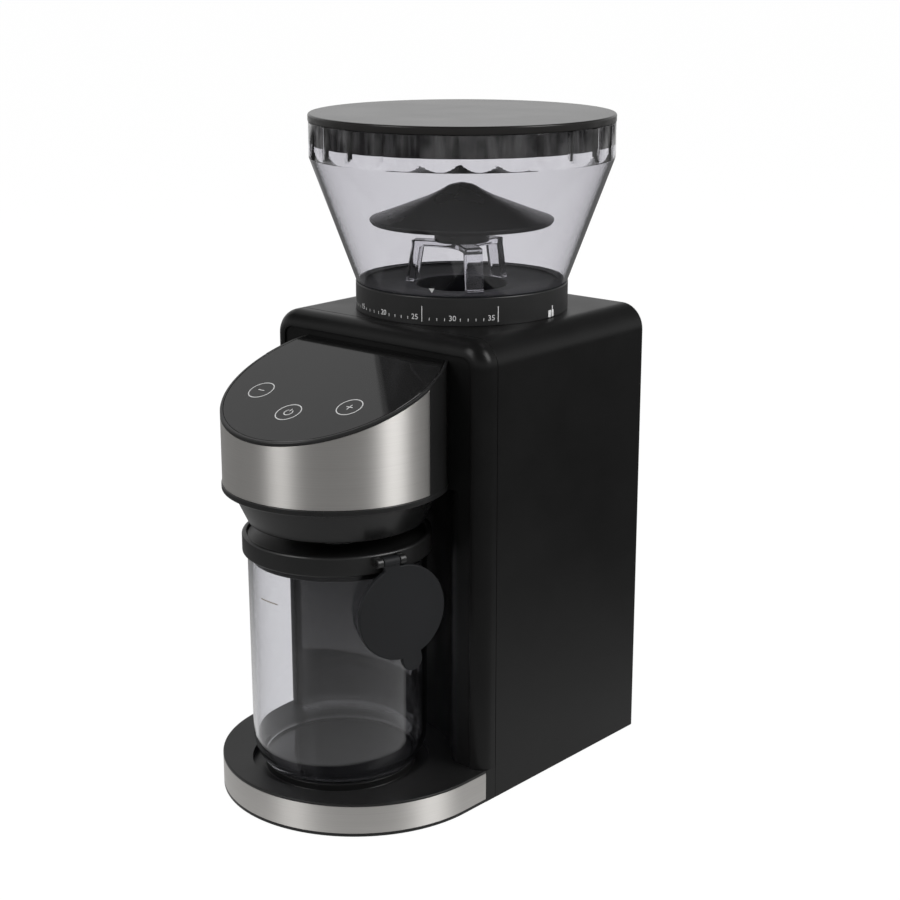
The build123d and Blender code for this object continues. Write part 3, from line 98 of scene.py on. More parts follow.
# Base
BASE_HALF = 64.98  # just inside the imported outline
PLATE_TOP = 4.0
BASE_TOP = 16.4
BAND_LOW = 2.1
BAND_HIGH = 15.2
BAND_SINK = 0.95
BAND_EASE = 0.05
STEEL = 0.85
STEEL_EDGE = 0.18
TRAY_BACK_Y = -24.85
BASE_ARC_Y = -40.5
TONGUE_RADIUS = 54.5
BASE_SKIRT_TOP = 4.3
SKIRT_INSET = 3.35
RIM_WIDTH = 1.0
TOP_SKIN = 0.5
MOAT_OUTER = 41.4
MOAT_INNER = 35.0
MOAT_FLOOR = 13.0
MOAT_LIP = 0.4
FOOT_RADIUS = 8.0
SOLE_HOLLOW = 0.5
SOLE_INNER = 5.0
SOLE_OUTER = 5.4
FEET = [(side * 43.0, y) for side in (-1, 1) for y in (-64.5, 58.25)]

# Head
HEAD_BOTTOM = 148.5
HEAD_RADIUS = 51.3
LIP_RADIUS = 51.7
LIP_TOP = 151.4
LIP_OVERLAP = 1.0
HEAD_WALL = 3.8
HEAD_FLOOR = 2.6
HEAD_BAND_Y = -47.05
BAND_RIM = 1.6
UNCUT = 20.0  # how far a wall is drawn above the tower, before its cut along the slope
PANEL_TOP = 207.2
PANEL_SLOPE = 19.8
PANEL_RADIUS = 49.8
PANEL_SEAT = 49.9
PANEL_THICK = 2.2
PANEL_SOFT = 0.4
RIM_SOFT = 0.35
ON_PLANE = 0.01  # a point is in the panel's plane if it is nearer than this
FUNNEL_LOW = 133.1
FUNNEL_FOOT = 40.2
FUNNEL_TOP = 47.4
FUNNEL_WALL = 1.8
SPOUT = 16.1

# Touch keys
KEY_RING = 6.0
KEY_LINE = 0.45
KEYS = {"minus": (-27.5, -18.9), "plus": (25.7, -17.4), "power": (0.0, -29.1)}
MARK_WIDTH = 3.6
PLUS_ARM = (1.0, 1.56)  # middle and length of the plus mark's upper arm
POWER_RADIUS = 2.2
POWER_GAP = 70
POWER_BAR = 1.7  # middle and length

# Collar and its scale
COLLAR_RADIUS = 50.4
COLLAR_TOP = 230.7
COLLAR_INNER = 48.0
COLLAR_FLOOR = 220.1
COLLAR_BORE = 32.7
COLLAR_SPIGOT = 44.7
FLANGE_TOP = 215.1
SCALE_END = 35
SCALE_STEP = 4.05  # degrees from one setting to the next
SCALE_START = -86.0  # azimuth of setting 0
NUMBER_EVERY = 5
NUMBER_Z = 221.2
NUMBER_SIZE = 3.5
TICK = (0.3, 1.3)  # width and height
TICK_Z = 220.6
DIVIDERS = (4.5, 26.0, 35.9)
DIVIDER = (0.35, 7.2)
DIVIDER_Z = 222.8
LOCK_AZIMUTH = 95.15
LOCK_Z = 221.0
LOCK_BODY = (0, -1.4, 4.4, 3.2)  # middle, width and height
LOCK_LEG = (1.1, 1.0, 0.7, 2.2)
LOCK_BOW = (1.75, 1.05, 150)  # outer and inner radius, and its gap in degrees
LOCK_BOW_AT = (2.5, 2.1, 0)

# Hopper
HOPPER_LOW = 231.1
HOPPER_BREAK = 288.9
HOPPER_TOP = 305.1
HOPPER_RADIUS = 71.55
HOPPER_WALL = 1.7
HOPPER_FOOT = 50.2
HOPPER_HELD = 48.3
HOPPER_FLOOR = 231.2
LOBES = 26  # soft upright pads inside the straight band, with a sharp groove between each two
LOBE_RADIUS = 69.5
LOBE_LOW = 289.0
LOBE_STEPS = 12
GROOVE_RADIUS = 71.0
GROOVE_LOW = 293.5
GROOVE_AZIMUTH = 39.5
POINTER_RADIUS = 1.5
POINTER_Z = 234.2
POINTER_AZIMUTH = 25.0
LID_LOW = 305.2
LID_TOP = 308.9
LID_RADIUS = 71.75
LID_HOLLOW = 306.2
SKIRT_RADIUS = 68.7
SKIRT_INNER = 67.1
SKIRT_LOW = 294.7
DISH_RADIUS = 47.6
DISH_INNER = 45.6
DISH_LOW = 226.5
DISH_TOP = 229.0
DISH_RISE = 1.5
DISH_FLAT = 6.0  # level ring round the throat
DISH_FLANGE = 50.3
FLANGE_LOW = 230.8
DISH_RIM = 231.25
THROAT = 21.5
NECK = 23.5
NECK_LOW = 206.1
BRIDGE_LOW = 246.1
BRIDGE_TOP = 249.1
LEGS = 3
LEG_AZIMUTH = 54.0
LEG_LEAN = 3.0
LEG_WIDTH = 8.4
LEG_NEAR = 22.5
LEG_FAR = 27.0
LEG_ROUND = 1.2
LEG_SOFT = 0.7
HUB_ROUND = 9.0
GUARD_RADIUS = 44.0
GUARD_LOW = 257.6
GUARD_EDGE = 2.4
GUARD_UNDERCUT = 1.6
GUARD_ROOF = 269.13
GUARD_APEX = 277.1
BRIM_RADIUS = 38.0
BRIM_LOW = 259.4
BRIM_TOP = 262.0
GUARD_SHOULDER = (12.0, 272.0)
GUARD_TIP = (6.0, 275.9)
BOSS_RADIUS = 13.0

# Jar
JAR_RADIUS = 41.0
JAR_LOW = 16.5
JAR_TOP = 124.1
JAR_WALL = 2.0
JAR_FOOT = 40.6
JAR_CURVE_TOP = 31.0
JAR_CURVE_MIDDLE = 18.8
JAR_CURVE = 21.8
JAR_SOLE = 34.0
JAR_FLOOR = 35.0
JAR_TOE = 1.5
JAR_LID_RADIUS = 43.3
JAR_LID_LOW = 118.6
JAR_LID_TOP = 127.7
JAR_GRIP = 41.2
LID_PLATE_LOW = 124.2
LID_PLATE_TOP = 126.2
LID_BEAD = 40.9
PLUG_RADIUS = 38.3
PLUG_INNER = 36.5
PLUG_LOW = 115.1
POUR_RADIUS = 19.0
HINGE_RADIUS = 46.2
HINGE_Z = 124.7
FLAP_AZIMUTH = 74.0
FLAP_TILT = 12.5
FLAP_RADIUS = 22.0
FLAP_ARM = 25.2
FLAP_THICK = 2.4
FLAP_SOFT = 0.6
STRAP_HALF = 4.0
STRAP_TOP = -1.0
STRAP_BEND = 3.0  # length over which the strap bends to the flap's tilt
TAB_RADIUS = 5.0
TAB_Z = -49.2
FLAP_PLUG = 18.4
PLUG_TALL = 1.8
PLUG_WALL = 1.8
KNUCKLE = 2.2
PIN_BORE = 1.03
LUG_NEAR = 4.3
LUG_FAR = 7.3
LUG_FRONT = 1.2
LUG_BACK = 4.2
FILL_Z = 102.3
FILL_AZIMUTH = -4.6
FILL_WIDTH = 11.4
FILL_LINE = 0.6
FILL_RADIUS = JAR_FOOT + (JAR_RADIUS - JAR_FOOT) * (FILL_Z - JAR_CURVE_TOP) / (JAR_TOP - JAR_CURVE_TOP)

Arc = namedtuple("Arc", "u v turn")  # round a middle point, by an angle
DRAWN_ON = {"XZ": (lambda u, v: Vector((u, 0, v)), (0, -1, 0)),
            "XY": (lambda u, v: Vector((u, v, 0)), (0, 0, 1))}


def bevelled(mesh, geom, reach, segments, affect):
    """Rounds corners or edges."""
    bmesh.ops.bevel(mesh, geom=geom, offset=reach, offset_type="OFFSET", segments=segments, profile=0.5,
                    affect=affect, clamp_overlap=True, material=-1)


def drawn(plane, moves, closed):
    """A wire of points and arcs. A point may have a third number, the reach that rounds its corner."""
    place, axis = DRAWN_ON[plane]
    mesh = bmesh.new()
    corners = []
    tip = None
    for move in moves:
        if isinstance(move, Arc):
            steps = max(ARC_STEPS, round(abs(move.turn) / ARC_DEGREES))
            swept = bmesh.ops.spin(mesh, geom=[tip], cent=place(move.u, move.v), axis=axis,
                                   angle=radians(move.turn), steps=steps)
            tip = swept["geom_last"][0]
        else:
            end = mesh.verts.new(place(*move[:2]))
            if tip is not None:
                mesh.edges.new((tip, end))
            corners.append((end, sum(move[2:])))
            tip = end
    if closed:
        mesh.edges.new((tip, corners[0][0]))
    for corner, reach in corners:
        if reach:
            bevelled(mesh, [corner], reach, ARC_STEPS + round(reach / 2), "VERTICES")
    return mesh


def welded(mesh):
    """Merges doubled points and turns the faces outwards."""
    bmesh.ops.remove_doubles(mesh, verts=mesh.verts, dist=WELD)
    bmesh.ops.recalc_face_normals(mesh, faces=mesh.faces)
    return mesh


def moved(mesh, way):
    """Shifts a whole mesh."""
    bmesh.ops.translate(mesh, vec=way, verts=mesh.verts)
    return mesh


def applied(mesh, matrix):
    """Moves and turns a whole mesh."""
    bmesh.ops.transform(mesh, matrix=matrix, verts=mesh.verts)
    return mesh


def wire_of(mesh):
    """All points and edges of a mesh."""
    return mesh.verts[:] + mesh.edges[:]


def edges_of(geom):
    """The edges in a list of geometry."""
    return [part for part in geom if isinstance(part, bmesh.types.BMEdge)]


def spun(mesh, at, steps=ROUND_STEPS):
    """A wire in the XZ plane spun round Z, then moved to an upright axis."""
    bmesh.ops.spin(mesh, geom=wire_of(mesh), cent=(0, 0, 0), axis=(0, 0, 1), angle=tau, steps=steps,
                   use_merge=True)
    return moved(welded(mesh), (*at, 0))


def turned(at, *moves, steps=ROUND_STEPS):
    """A solid of revolution from an outline of radius and height."""
    return spun(drawn("XZ", moves, moves[0][0] > 0), at, steps)


def carried(mesh, geom, way=(0, 0, 0), middle=(0, 0, 0), axis=(0, 0, 1), turn=0, steps=1):
    """Sweeps a wire along a straight way or round an axis, and gives its last copy."""
    done = bmesh.ops.spin(mesh, geom=geom, cent=middle, axis=axis, dvec=way, angle=radians(turn),
                          steps=steps)
    return done["geom_last"]


def filled(mesh, *rims):
    """Closes each rim with one face."""
    for rim in rims:
        bmesh.ops.edgeloop_fill(mesh, edges=rim)
    return mesh


def cut(mesh, point, normal, fill=True):
    """Takes away what lies on the normal's side of a plane, and closes the cut."""
    done = bmesh.ops.bisect_plane(mesh, geom=wire_of(mesh) + mesh.faces[:], dist=WELD, plane_co=point,
                                  plane_no=normal, clear_outer=True)
    if fill:
        bmesh.ops.triangle_fill(mesh, use_beauty=True, edges=edges_of(done["geom_cut"]), normal=normal)
    return mesh


def soften(mesh, reach, segments=2, least=50, chosen=lambda edge: True):
    """Rounds the edges that are sharper than an angle."""
    sharp = [edge for edge in mesh.edges
             if len(edge.link_faces) == 2 and edge.calc_face_angle(0) > radians(least) and chosen(edge)]
    bevelled(mesh, sharp, reach, segments, "EDGES")
    return mesh


def walled(mesh, thickness, middle):
    """Gives a sheet its thickness on the side of a middle point."""
    welded(mesh)
    middle = Vector(middle)
    facing = sum(face.calc_area() * face.normal.dot(face.calc_center_median() - middle)
                 for face in mesh.faces)
    if facing < 0:
        bmesh.ops.reverse_faces(mesh, faces=mesh.faces)
    bmesh.ops.solidify(mesh, geom=mesh.faces[:], thickness=thickness)
    return welded(mesh)


def slab(outline, way):
    """A flat closed wire filled and given a thickness."""
    rim = outline.edges[:]
    far = edges_of(carried(outline, wire_of(outline), way))
    return welded(filled(outline, rim, far))


def block(low, high, reach=0.3):
    """A box with softened edges."""
    mesh = bmesh.new()
    bmesh.ops.create_cube(mesh, size=1)
    low, high = Vector(low), Vector(high)
    bmesh.ops.scale(mesh, vec=high - low, verts=mesh.verts)
    return soften(moved(mesh, (low + high) / 2), reach)


def circle(radius, closed, steps=ROUND_STEPS):
    """A level circle, as a face or as a wire."""
    mesh = bmesh.new()
    bmesh.ops.create_circle(mesh, cap_ends=closed, radius=radius, segments=steps)
    return mesh


def stored(mesh, name):
    """A finished mesh as mesh data."""
    data = bpy.data.meshes.new(name)
    mesh.to_mesh(data)
    mesh.free()
    return data


def joined(*meshes):
    """Several meshes in one."""
    whole = bmesh.new()
    for part in meshes:
        data = stored(part, "part")
        whole.from_mesh(data)
        bpy.data.meshes.remove(data)
    return whole


def around(azimuth, radius, axis_y, z):
    """A point round an upright axis, at an azimuth in radians."""
    return Vector((radius * sin(azimuth), axis_y - radius * cos(azimuth), z))


def put(name, data):
    """A new object in the scene."""
    thing = bpy.data.objects.new(name, data)
    bpy.context.scene.collection.objects.link(thing)
    return thing


def piece(name, mesh, material, body, slot, *nodes, crease=38):
    """Makes a finished object that rides on a body and stands for CAD nodes."""
    for face in mesh.faces:
        face.smooth = True
    for edge in mesh.edges:
        edge.smooth = len(edge.link_faces) == 2 and edge.calc_face_angle(0) < radians(crease)
    bmesh.ops.scale(mesh, vec=(MM, MM, MM), verts=mesh.verts)
    shape = put(name, stored(mesh, name))
    shape.data.materials.append(material)
    shape.modifiers.new("flat faces stay flat", "WEIGHTED_NORMAL").keep_sharp = True
    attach(shape, body)
    if nodes:
        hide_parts(*nodes)


# Finishes

COLOUR = "NodeSocketColor"
NUMBER = "NodeSocketFloat"
VECTOR = "NodeSocketVector"
BLACK = (0.0, 0.0, 0.0, 1.0)
GRAIN_DEPTH = 0.02
LINE_DEPTH = 0.01


def wired(tree, kind, inputs=(), **settings):
    """A shader node. Each of its inputs is linked to a socket or set to a value."""
    node = tree.nodes.new("ShaderNode" + kind)
    for label, value in settings.items():
        setattr(node, label, value)
    for key, value in dict(inputs).items():
        if isinstance(value, bpy.types.NodeSocket):
            tree.links.new(value, node.inputs[key])
        else:
            node.inputs[key].default_value = value
    return node


def noise(tree, vector, detail=2.0, roughness=0.5):
    """A noise texture that reads a vector."""
    inputs = {"Vector": vector, "Scale": 1.0, "Detail": detail, "Roughness": roughness}
    return wired(tree, "TexNoise", inputs).outputs["Fac"]


def scaled(tree, vector, by):
    """A vector times another vector."""
    return wired(tree, "VectorMath", {0: vector, 1: by}, operation="MULTIPLY").outputs[0]


def ranged(tree, value, low, high, start=0.0, end=1.0):
    """Goes from low to high while a value goes from start to end."""
    inputs = {"Value": value, "From Min": start, "From Max": end, "To Min": low, "To Max": high}
    return wired(tree, "MapRange", inputs).outputs["Result"]


def reckoned(tree, operation, first, second, clamp=False):
    """A number worked out from two others."""
    return wired(tree, "Math", {0: first, 1: second}, operation=operation, use_clamp=clamp).outputs[0]


def object_place(tree):
    """Places on the piece, in metres."""
    return wired(tree, "TexCoord").outputs["Object"]


def effect(name, scales):
    """A node group with two colours, a range of gloss and some scales to read, and no nodes yet."""
    tree = bpy.data.node_groups.new(name, "ShaderNodeTree")
    colours = {"First colour": BLACK, "Second colour": BLACK}
    gloss = {"Smoothest": 0.2, "Roughest": 0.4}
    for kind, inputs in ((COLOUR, colours), (NUMBER, gloss), (VECTOR, scales)):
        for label, value in inputs.items():
            socket = tree.interface.new_socket(label, in_out="INPUT", socket_type=kind)
            socket.default_value = value
    for label, kind in (("Colour", COLOUR), ("Roughness", NUMBER), ("Height", NUMBER)):
        tree.interface.new_socket(label, in_out="OUTPUT", socket_type=kind)
    return tree, tree.nodes.new("NodeGroupInput").outputs


def completed(tree, given, value, start, end, height):
    """Lets a value pick an effect's colour and gloss, and gives them out with its height."""
    mask = ranged(tree, value, 0.0, 1.0, start, end)
    tones = {"Factor": mask, "A": given["First colour"], "B": given["Second colour"]}
    made = {"Colour": wired(tree, "Mix", tones, data_type="RGBA").outputs["Result"],
            "Roughness": ranged(tree, value, given["Smoothest"], given["Roughest"], start, end),
            "Height": height}
    out = tree.nodes.new("NodeGroupOutput")
    for label, socket in made.items():
        tree.links.new(socket, out.inputs[label])
    return tree


def grain_effect():
    """Fine moulded grain with slow drifts of colour and gloss."""
    tree, given = effect("moulded_grain", {"Grain": (2600, 2600, 2600), "Drift": (22, 22, 22)})
    place = object_place(tree)
    drift = noise(tree, scaled(tree, place, given["Drift"]), 4.0, 0.55)
    grain = noise(tree, scaled(tree, place, given["Grain"]), 1.0)
    return completed(tree, given, drift, 0.3, 0.7, grain)


def brushing_effect():
    """Fine level brush lines, long and broken, over two tones of metal."""
    tree, given = effect("level_brushing", {"Fine lines": (60, 60, 14000), "Broad lines": (9, 9, 2200)})
    place = object_place(tree)
    fine = noise(tree, scaled(tree, place, given["Fine lines"]), 2.0, 0.6)
    broad = noise(tree, scaled(tree, place, given["Broad lines"]), 3.0, 0.6)
    return completed(tree, given, reckoned(tree, "ADD", fine, broad), 0.7, 1.3, fine)


GRAIN = grain_effect()
BRUSHING = brushing_effect()


def colour(parts):
    """A colour from its three parts, or from one level of grey."""
    return (parts, parts, parts, 1.0) if isinstance(parts, float) else (*parts, 1.0)


def shader_of(tree):
    """A material's own shader."""
    return tree.nodes["Principled BSDF"]


def plain(name, **sockets):
    """A new material with values on its shader's own inputs."""
    material = bpy.data.materials.new(name)
    material.use_nodes = True
    tree = material.node_tree
    for label, value in sockets.items():
        shader_of(tree).inputs[label.replace("_", " ")].default_value = value
    return material, tree


def finish(name, effect_tree, first, second, smoothest, roughest, bump, depth, scales=(), **sockets):
    """A material whose colour, gloss and relief come from one effect."""
    material, tree = plain(name, **sockets)
    values = {"First colour": colour(first), "Second colour": colour(second), "Smoothest": smoothest,
              "Roughest": roughest}
    made = wired(tree, "Group", values | dict(scales), node_tree=effect_tree).outputs
    inputs = shader_of(tree).inputs
    tree.links.new(made["Colour"], inputs["Base Color"])
    tree.links.new(made["Roughness"], inputs["Roughness"])
    if bump:
        relief = wired(tree, "Bump", {"Strength": bump, "Distance": depth * MM, "Height": made["Height"]})
        tree.links.new(relief.outputs["Normal"], inputs["Normal"])
    return material


def plastic(name, first, second, smoothest, roughest, bump=0.15, **sockets):
    """A moulded plastic or rubber."""
    return finish(name, GRAIN, first, second, smoothest, roughest, bump, GRAIN_DEPTH, **sockets)


def metal(name, first, second, smoothest, roughest, bump, depth=LINE_DEPTH, **sockets):
    """A brushed metal."""
    return finish(name, BRUSHING, first, second, smoothest, roughest, bump, depth, Metallic=1.0, **sockets)


def mixed_in(tree, share, other):
    """Mixes another shader into a material."""
    mixed = wired(tree, "MixShader", {"Fac": share, 1: shader_of(tree).outputs[0], 2: other.outputs[0]})
    tree.links.new(mixed.outputs["Shader"], tree.nodes["Material Output"].inputs["Surface"])


def clear(name, tint, second, smoothest, roughest, index):
    """Clear moulded plastic that lets the lamps through."""
    material = finish(name, GRAIN, tint, second, smoothest, roughest, 0.0, GRAIN_DEPTH,
                      {"Drift": (12, 12, 12)}, Transmission_Weight=1.0, IOR=index)
    tree = material.node_tree
    shadow = wired(tree, "LightPath").outputs["Is Shadow Ray"]
    mixed_in(tree, shadow, wired(tree, "BsdfTransparent", {"Color": colour(tint)}))
    return material


def steel(name, first, second, smoothest, roughest, anisotropy):
    """Brushed sheet steel. Its lines run level, so it streaks upright."""
    material = metal(name, first, second, smoothest, roughest, 0.06,
                     Anisotropic=anisotropy, Anisotropic_Rotation=0.25)
    tree = material.node_tree
    normal = wired(tree, "NewGeometry").outputs["Normal"]
    along = wired(tree, "VectorMath", {0: normal, 1: (0, 0, 1)}, operation="CROSS_PRODUCT")
    tree.links.new(along.outputs[0], shader_of(tree).inputs["Tangent"])
    return material


tower_black = plastic("tower_black", 0.004, 0.006, 0.28, 0.36, Specular_IOR_Level=0.18)
base_black = plastic("base_black", 0.006, 0.009, 0.32, 0.42, Specular_IOR_Level=0.3)
head_black = plastic("head_black", 0.008, 0.011, 0.26, 0.34)
panel_gloss = plastic("panel_gloss", 0.005, 0.007, 0.04, 0.09, 0.02)
chute_black = plastic("chute_black", 0.005, 0.008, 0.2, 0.3, Specular_IOR_Level=0.35)
collar_black = plastic("collar_black", 0.009, 0.012, 0.3, 0.38)
lid_black = plastic("lid_black", (0.010, 0.0095, 0.009), (0.012, 0.0115, 0.011), 0.2, 0.23, 0.02,
                    Specular_IOR_Level=0.22)
guard_black = plastic("guard_black", 0.008, 0.011, 0.22, 0.3, 0.06)
dish_smoke = plastic("dish_smoke", (0.004, 0.0045, 0.006), (0.006, 0.0065, 0.008), 0.4, 0.5,
                     Specular_IOR_Level=0.2)
jar_lid_black = plastic("jar_lid_black", 0.006, 0.009, 0.32, 0.42)
flap_rubber = plastic("flap_rubber", (0.006, 0.0065, 0.0075), (0.008, 0.0085, 0.010), 0.55, 0.66, 0.3,
                      Specular_IOR_Level=0.3)
foot_rubber = plastic("foot_rubber", 0.014, 0.022, 0.7, 0.85, 0.4)
print_grey = plastic("print_grey", 0.58, 0.66, 0.5, 0.6)
fill_print = plastic("fill_print", (0.24, 0.215, 0.19), (0.28, 0.25, 0.22), 0.5, 0.6)
icon_grey = plastic("icon_grey", 0.50, 0.58, 0.35, 0.45)
hopper_clear = clear("hopper_clear", (0.82, 0.815, 0.84), (0.80, 0.795, 0.825), 0.006, 0.016, 1.49)
jar_clear = clear("jar_clear", (0.83, 0.83, 0.85), (0.81, 0.81, 0.835), 0.006, 0.016, 1.57)
band_steel = steel("band_steel", (0.62, 0.605, 0.585), (0.57, 0.555, 0.535), 0.42, 0.5, 0.92)


# Tower


def hooped(moves, low):
    """An outline drawn across the tower's right side, carried up it, over the top and down the left."""
    mesh = moved(drawn("XY", moves, True), (0, 0, low))
    start = mesh.edges[:]
    inner = TOWER_HALF - TOP_ROUND
    rise = TOWER_TOP - TOP_ROUND - low
    last = wire_of(mesh)
    for way, x in (((0, 0, rise), inner), ((-2 * inner, 0, 0), -inner)):
        last = carried(mesh, last, way)
        last = carried(mesh, last, middle=(x, 0, low + rise), axis=(0, -1, 0), turn=90, steps=12)
    last = carried(mesh, last, (0, 0, -rise))
    return welded(filled(mesh, start, edges_of(last)))


def front_frame():
    """Raised frame of the front shell, and the tongue that reaches behind the seam."""
    side = TOWER_HALF
    inside = side - FRAME_WIDTH
    sunk = FACE_Y + FRAME_SUNK
    rail = hooped([
        (side, SEAM_Y, SEAM_SOFT), (side, FRONT_Y, FRAME_ROUND), (inside, FRONT_Y, 0.35), (inside, sunk),
        (side - WALL, sunk, 4.5), (side - WALL, SEAM_Y)], BASE_TOP)
    outer = side - WALL - SEAM_GAP
    inner = outer - TONGUE_WALL
    near = SEAM_Y - TONGUE
    far = SEAM_Y + TONGUE
    tongue = hooped([(outer, near), (outer, far), (inner, far), (inner, near)], PLATE_TOP + SEAM_GAP)
    feet = [block((x, TRAY_BACK_Y + SEAM_GAP, BODY_LOW), (x + WALL, SEAM_Y, BASE_TOP), 0.2)
            for x in (side - WALL, -side)]
    return joined(rail, tongue, *feet)


def front_face():
    """Flat face inside the frame and the round bay behind the jar, as one wall."""
    half = TOWER_HALF - FRAME_WIDTH
    reach = BAY_RADIUS + BAY_ROUND
    edge_y = FACE_Y + BAY_ROUND
    edge_x = sqrt(reach ** 2 - (edge_y - JAR_Y) ** 2)
    lean = degrees(asin((edge_y - JAR_Y) / reach))
    mesh = drawn("XY", [
        (-half, FACE_Y), (-edge_x, FACE_Y), Arc(-edge_x, edge_y, 90 - lean),
        Arc(0, JAR_Y, 2 * lean - 180), Arc(edge_x, edge_y, 90 - lean), (half, FACE_Y)], False)
    moved(mesh, (0, 0, BASE_TOP))
    mouth = edges_of(carried(mesh, wire_of(mesh), (0, 0, HEAD_BOTTOM - BASE_TOP)))
    arch = [edge for edge in mouth if max(abs(end.co.x) for end in edge.verts) < edge_x + WELD]
    ends = [end for edge in arch for end in edge.verts
            if abs(abs(end.co.x) - edge_x) < WELD and abs(end.co.y - FACE_Y) < WELD]
    chord = mesh.edges.new(sorted(ends, key=lambda end: end.co.x))
    filled(mesh, arch + [chord])
    top = TOWER_TOP - FRAME_WIDTH
    below = [(x, HEAD_BOTTOM) for x in (-half, -edge_x, edge_x, half)]
    above = [(half, top), (-half, top)]
    points = [mesh.verts.new((x, FACE_Y, z)) for x, z in below + above]
    mesh.faces.new(points)
    bevelled(mesh, points[len(below):], TOP_ROUND - FRAME_WIDTH, 6, "VERTICES")
    far_behind = (0, 4 * BACK_Y, TOWER_TOP / 2)
    return walled(mesh, WALL, far_behind)


def rear_shell():
    """Sides, back and top of the tower, open in front and below, with a hole for the collar's spigot."""
    front = SEAM_Y + SEAM_GAP
    mesh = drawn("XZ", [
        (-TOWER_HALF, BODY_LOW), (-TOWER_HALF, TOWER_TOP, TOP_ROUND), (TOWER_HALF, TOWER_TOP, TOP_ROUND),
        (TOWER_HALF, BODY_LOW)], False)
    moved(mesh, (0, front, 0))
    rim = edges_of(carried(mesh, wire_of(mesh), (0, BACK_Y - front, 0)))
    ends = [end for edge in rim for end in edge.verts if len(end.link_edges) == 2]
    welded(filled(mesh, rim + [mesh.edges.new(ends)]))
    rim = [edge for edge in mesh.edges if len(edge.link_faces) == 2
           and all(abs(end.co.y - BACK_Y) < WELD for end in edge.verts)]
    bevelled(mesh, rim, BACK_ROUND, 4, "EDGES")
    level = [face for face in mesh.faces if abs(face.normal.z) > LEVEL]
    roof = max(level, key=lambda face: face.calc_area())
    line = list(roof.edges)
    bmesh.ops.delete(mesh, geom=[roof], context="FACES_ONLY")
    bmesh.ops.create_circle(mesh, cap_ends=False, radius=COLLAR_HOLE, segments=72,
                            matrix=Matrix.Translation((*HOPPER_AT, TOWER_TOP)))
    line += [edge for edge in mesh.edges if not edge.link_faces and edge not in line]
    bmesh.ops.triangle_fill(mesh, use_beauty=True, edges=line, normal=(0, 0, 1))
    walled(mesh, WALL, (0, HOPPER_Y, TOWER_TOP / 2))
    return soften(mesh, SEAM_SOFT, 2, 60)


piece("front_shell", joined(front_frame(), front_face()), tower_black, "grinder_body", "tower_black",
      "front_housing")
piece("rear_shell", rear_shell(), tower_black, "grinder_body", "tower_black", "rear_housing")


# Base


def base_line(inset):
    """The base's outline, from its right end round the front to its left end, as moves in plan."""
    half = BASE_HALF - inset
    return [(half, TRAY_BACK_Y), (half, BASE_ARC_Y), Arc(0, BASE_ARC_Y, -180), (-half, TRAY_BACK_Y)]


def round_base(*moves):
    """An outline of inset and height, swept round the base."""
    mesh = drawn("XZ", [(BASE_HALF - inset, *rest) for inset, *rest in moves], True)
    moved(mesh, (0, TRAY_BACK_Y, 0))
    start = mesh.edges[:]
    run = BASE_ARC_Y - TRAY_BACK_Y
    last = carried(mesh, wire_of(mesh), (0, run, 0))
    last = carried(mesh, last, middle=(0, BASE_ARC_Y, 0), turn=-180, steps=72)
    last = carried(mesh, last, (0, -run, 0))
    return welded(filled(mesh, start, edges_of(last)))


def base_tray():
    """Black base under the jar: a skirt below, and a top with a groove round the jar's sole."""
    skirt = round_base(
        (0, BODY_LOW, 0.3), (0, BAND_LOW, 0.2), (BAND_SINK, BAND_LOW), (BAND_SINK, BASE_SKIRT_TOP),
        (SKIRT_INSET, BASE_SKIRT_TOP), (SKIRT_INSET, BODY_LOW))
    rim = round_base((0, BAND_HIGH, 0.2), (0, BASE_TOP, 0.5), (RIM_WIDTH, BASE_TOP), (RIM_WIDTH, BAND_HIGH))
    back_x = sqrt(TONGUE_RADIUS ** 2 - (TRAY_BACK_Y - JAR_Y) ** 2)
    sweep = degrees(atan2(back_x, TRAY_BACK_Y - JAR_Y))

    def outline(inset, low):
        line = base_line(inset) + [(-back_x, TRAY_BACK_Y), Arc(0, JAR_Y, -2 * sweep)]
        return moved(welded(drawn("XY", line, True)), (0, 0, low))

    low = PLATE_TOP + SEAM_GAP
    body = slab(outline(BAND_SINK, low), (0, 0, MOAT_FLOOR - low - TOP_SKIN - SEAM_GAP))
    moat = drawn("XZ", [
        (MOAT_OUTER, BASE_TOP, 0.3), (MOAT_OUTER, BASE_TOP - MOAT_LIP), (MOAT_OUTER, MOAT_FLOOR, 0.5),
        (MOAT_INNER, MOAT_FLOOR, 0.5), (MOAT_INNER, BASE_TOP, 0.3), (0, BASE_TOP)], False)
    top = joined(outline(RIM_WIDTH, BASE_TOP), spun(moat, JAR_AT))
    open_edges = [edge for edge in top.edges if len(edge.link_faces) < 2]
    bmesh.ops.triangle_fill(top, use_beauty=True, edges=open_edges, normal=(0, 0, 1))
    walled(top, TOP_SKIN, (0, JAR_Y, 0))
    return joined(skirt, rim, body, top)


def base_band():
    """Steel strip let into the base."""
    low = BAND_LOW + BAND_EASE
    mesh = moved(drawn("XY", base_line(0), False), (0, 0, low))
    carried(mesh, wire_of(mesh), (0, 0, BAND_HIGH - BAND_EASE - low))
    walled(mesh, STEEL, (0, BASE_ARC_Y, PLATE_TOP))
    return soften(mesh, STEEL_EDGE, 2, 60)


def foot(at):
    """Rubber foot with a hollow sole."""
    return turned(
        at, (0, SOLE_HOLLOW), (SOLE_INNER, SOLE_HOLLOW, 0.3), (SOLE_OUTER, 0, 0.2),
        (FOOT_RADIUS, 0, 0.5), (FOOT_RADIUS, FOOT_HEIGHT), (0, FOOT_HEIGHT), steps=48)


piece("base_top", base_tray(), base_black, "grinder_body", "base_black", "base_tray")
piece("base_steel", base_band(), band_steel, "grinder_body", "band_steel", "base_band")
piece("feet", joined(*(foot(at) for at in FEET)), foot_rubber, "grinder_body", "foot_rubber", "rubber_feet")


# Head

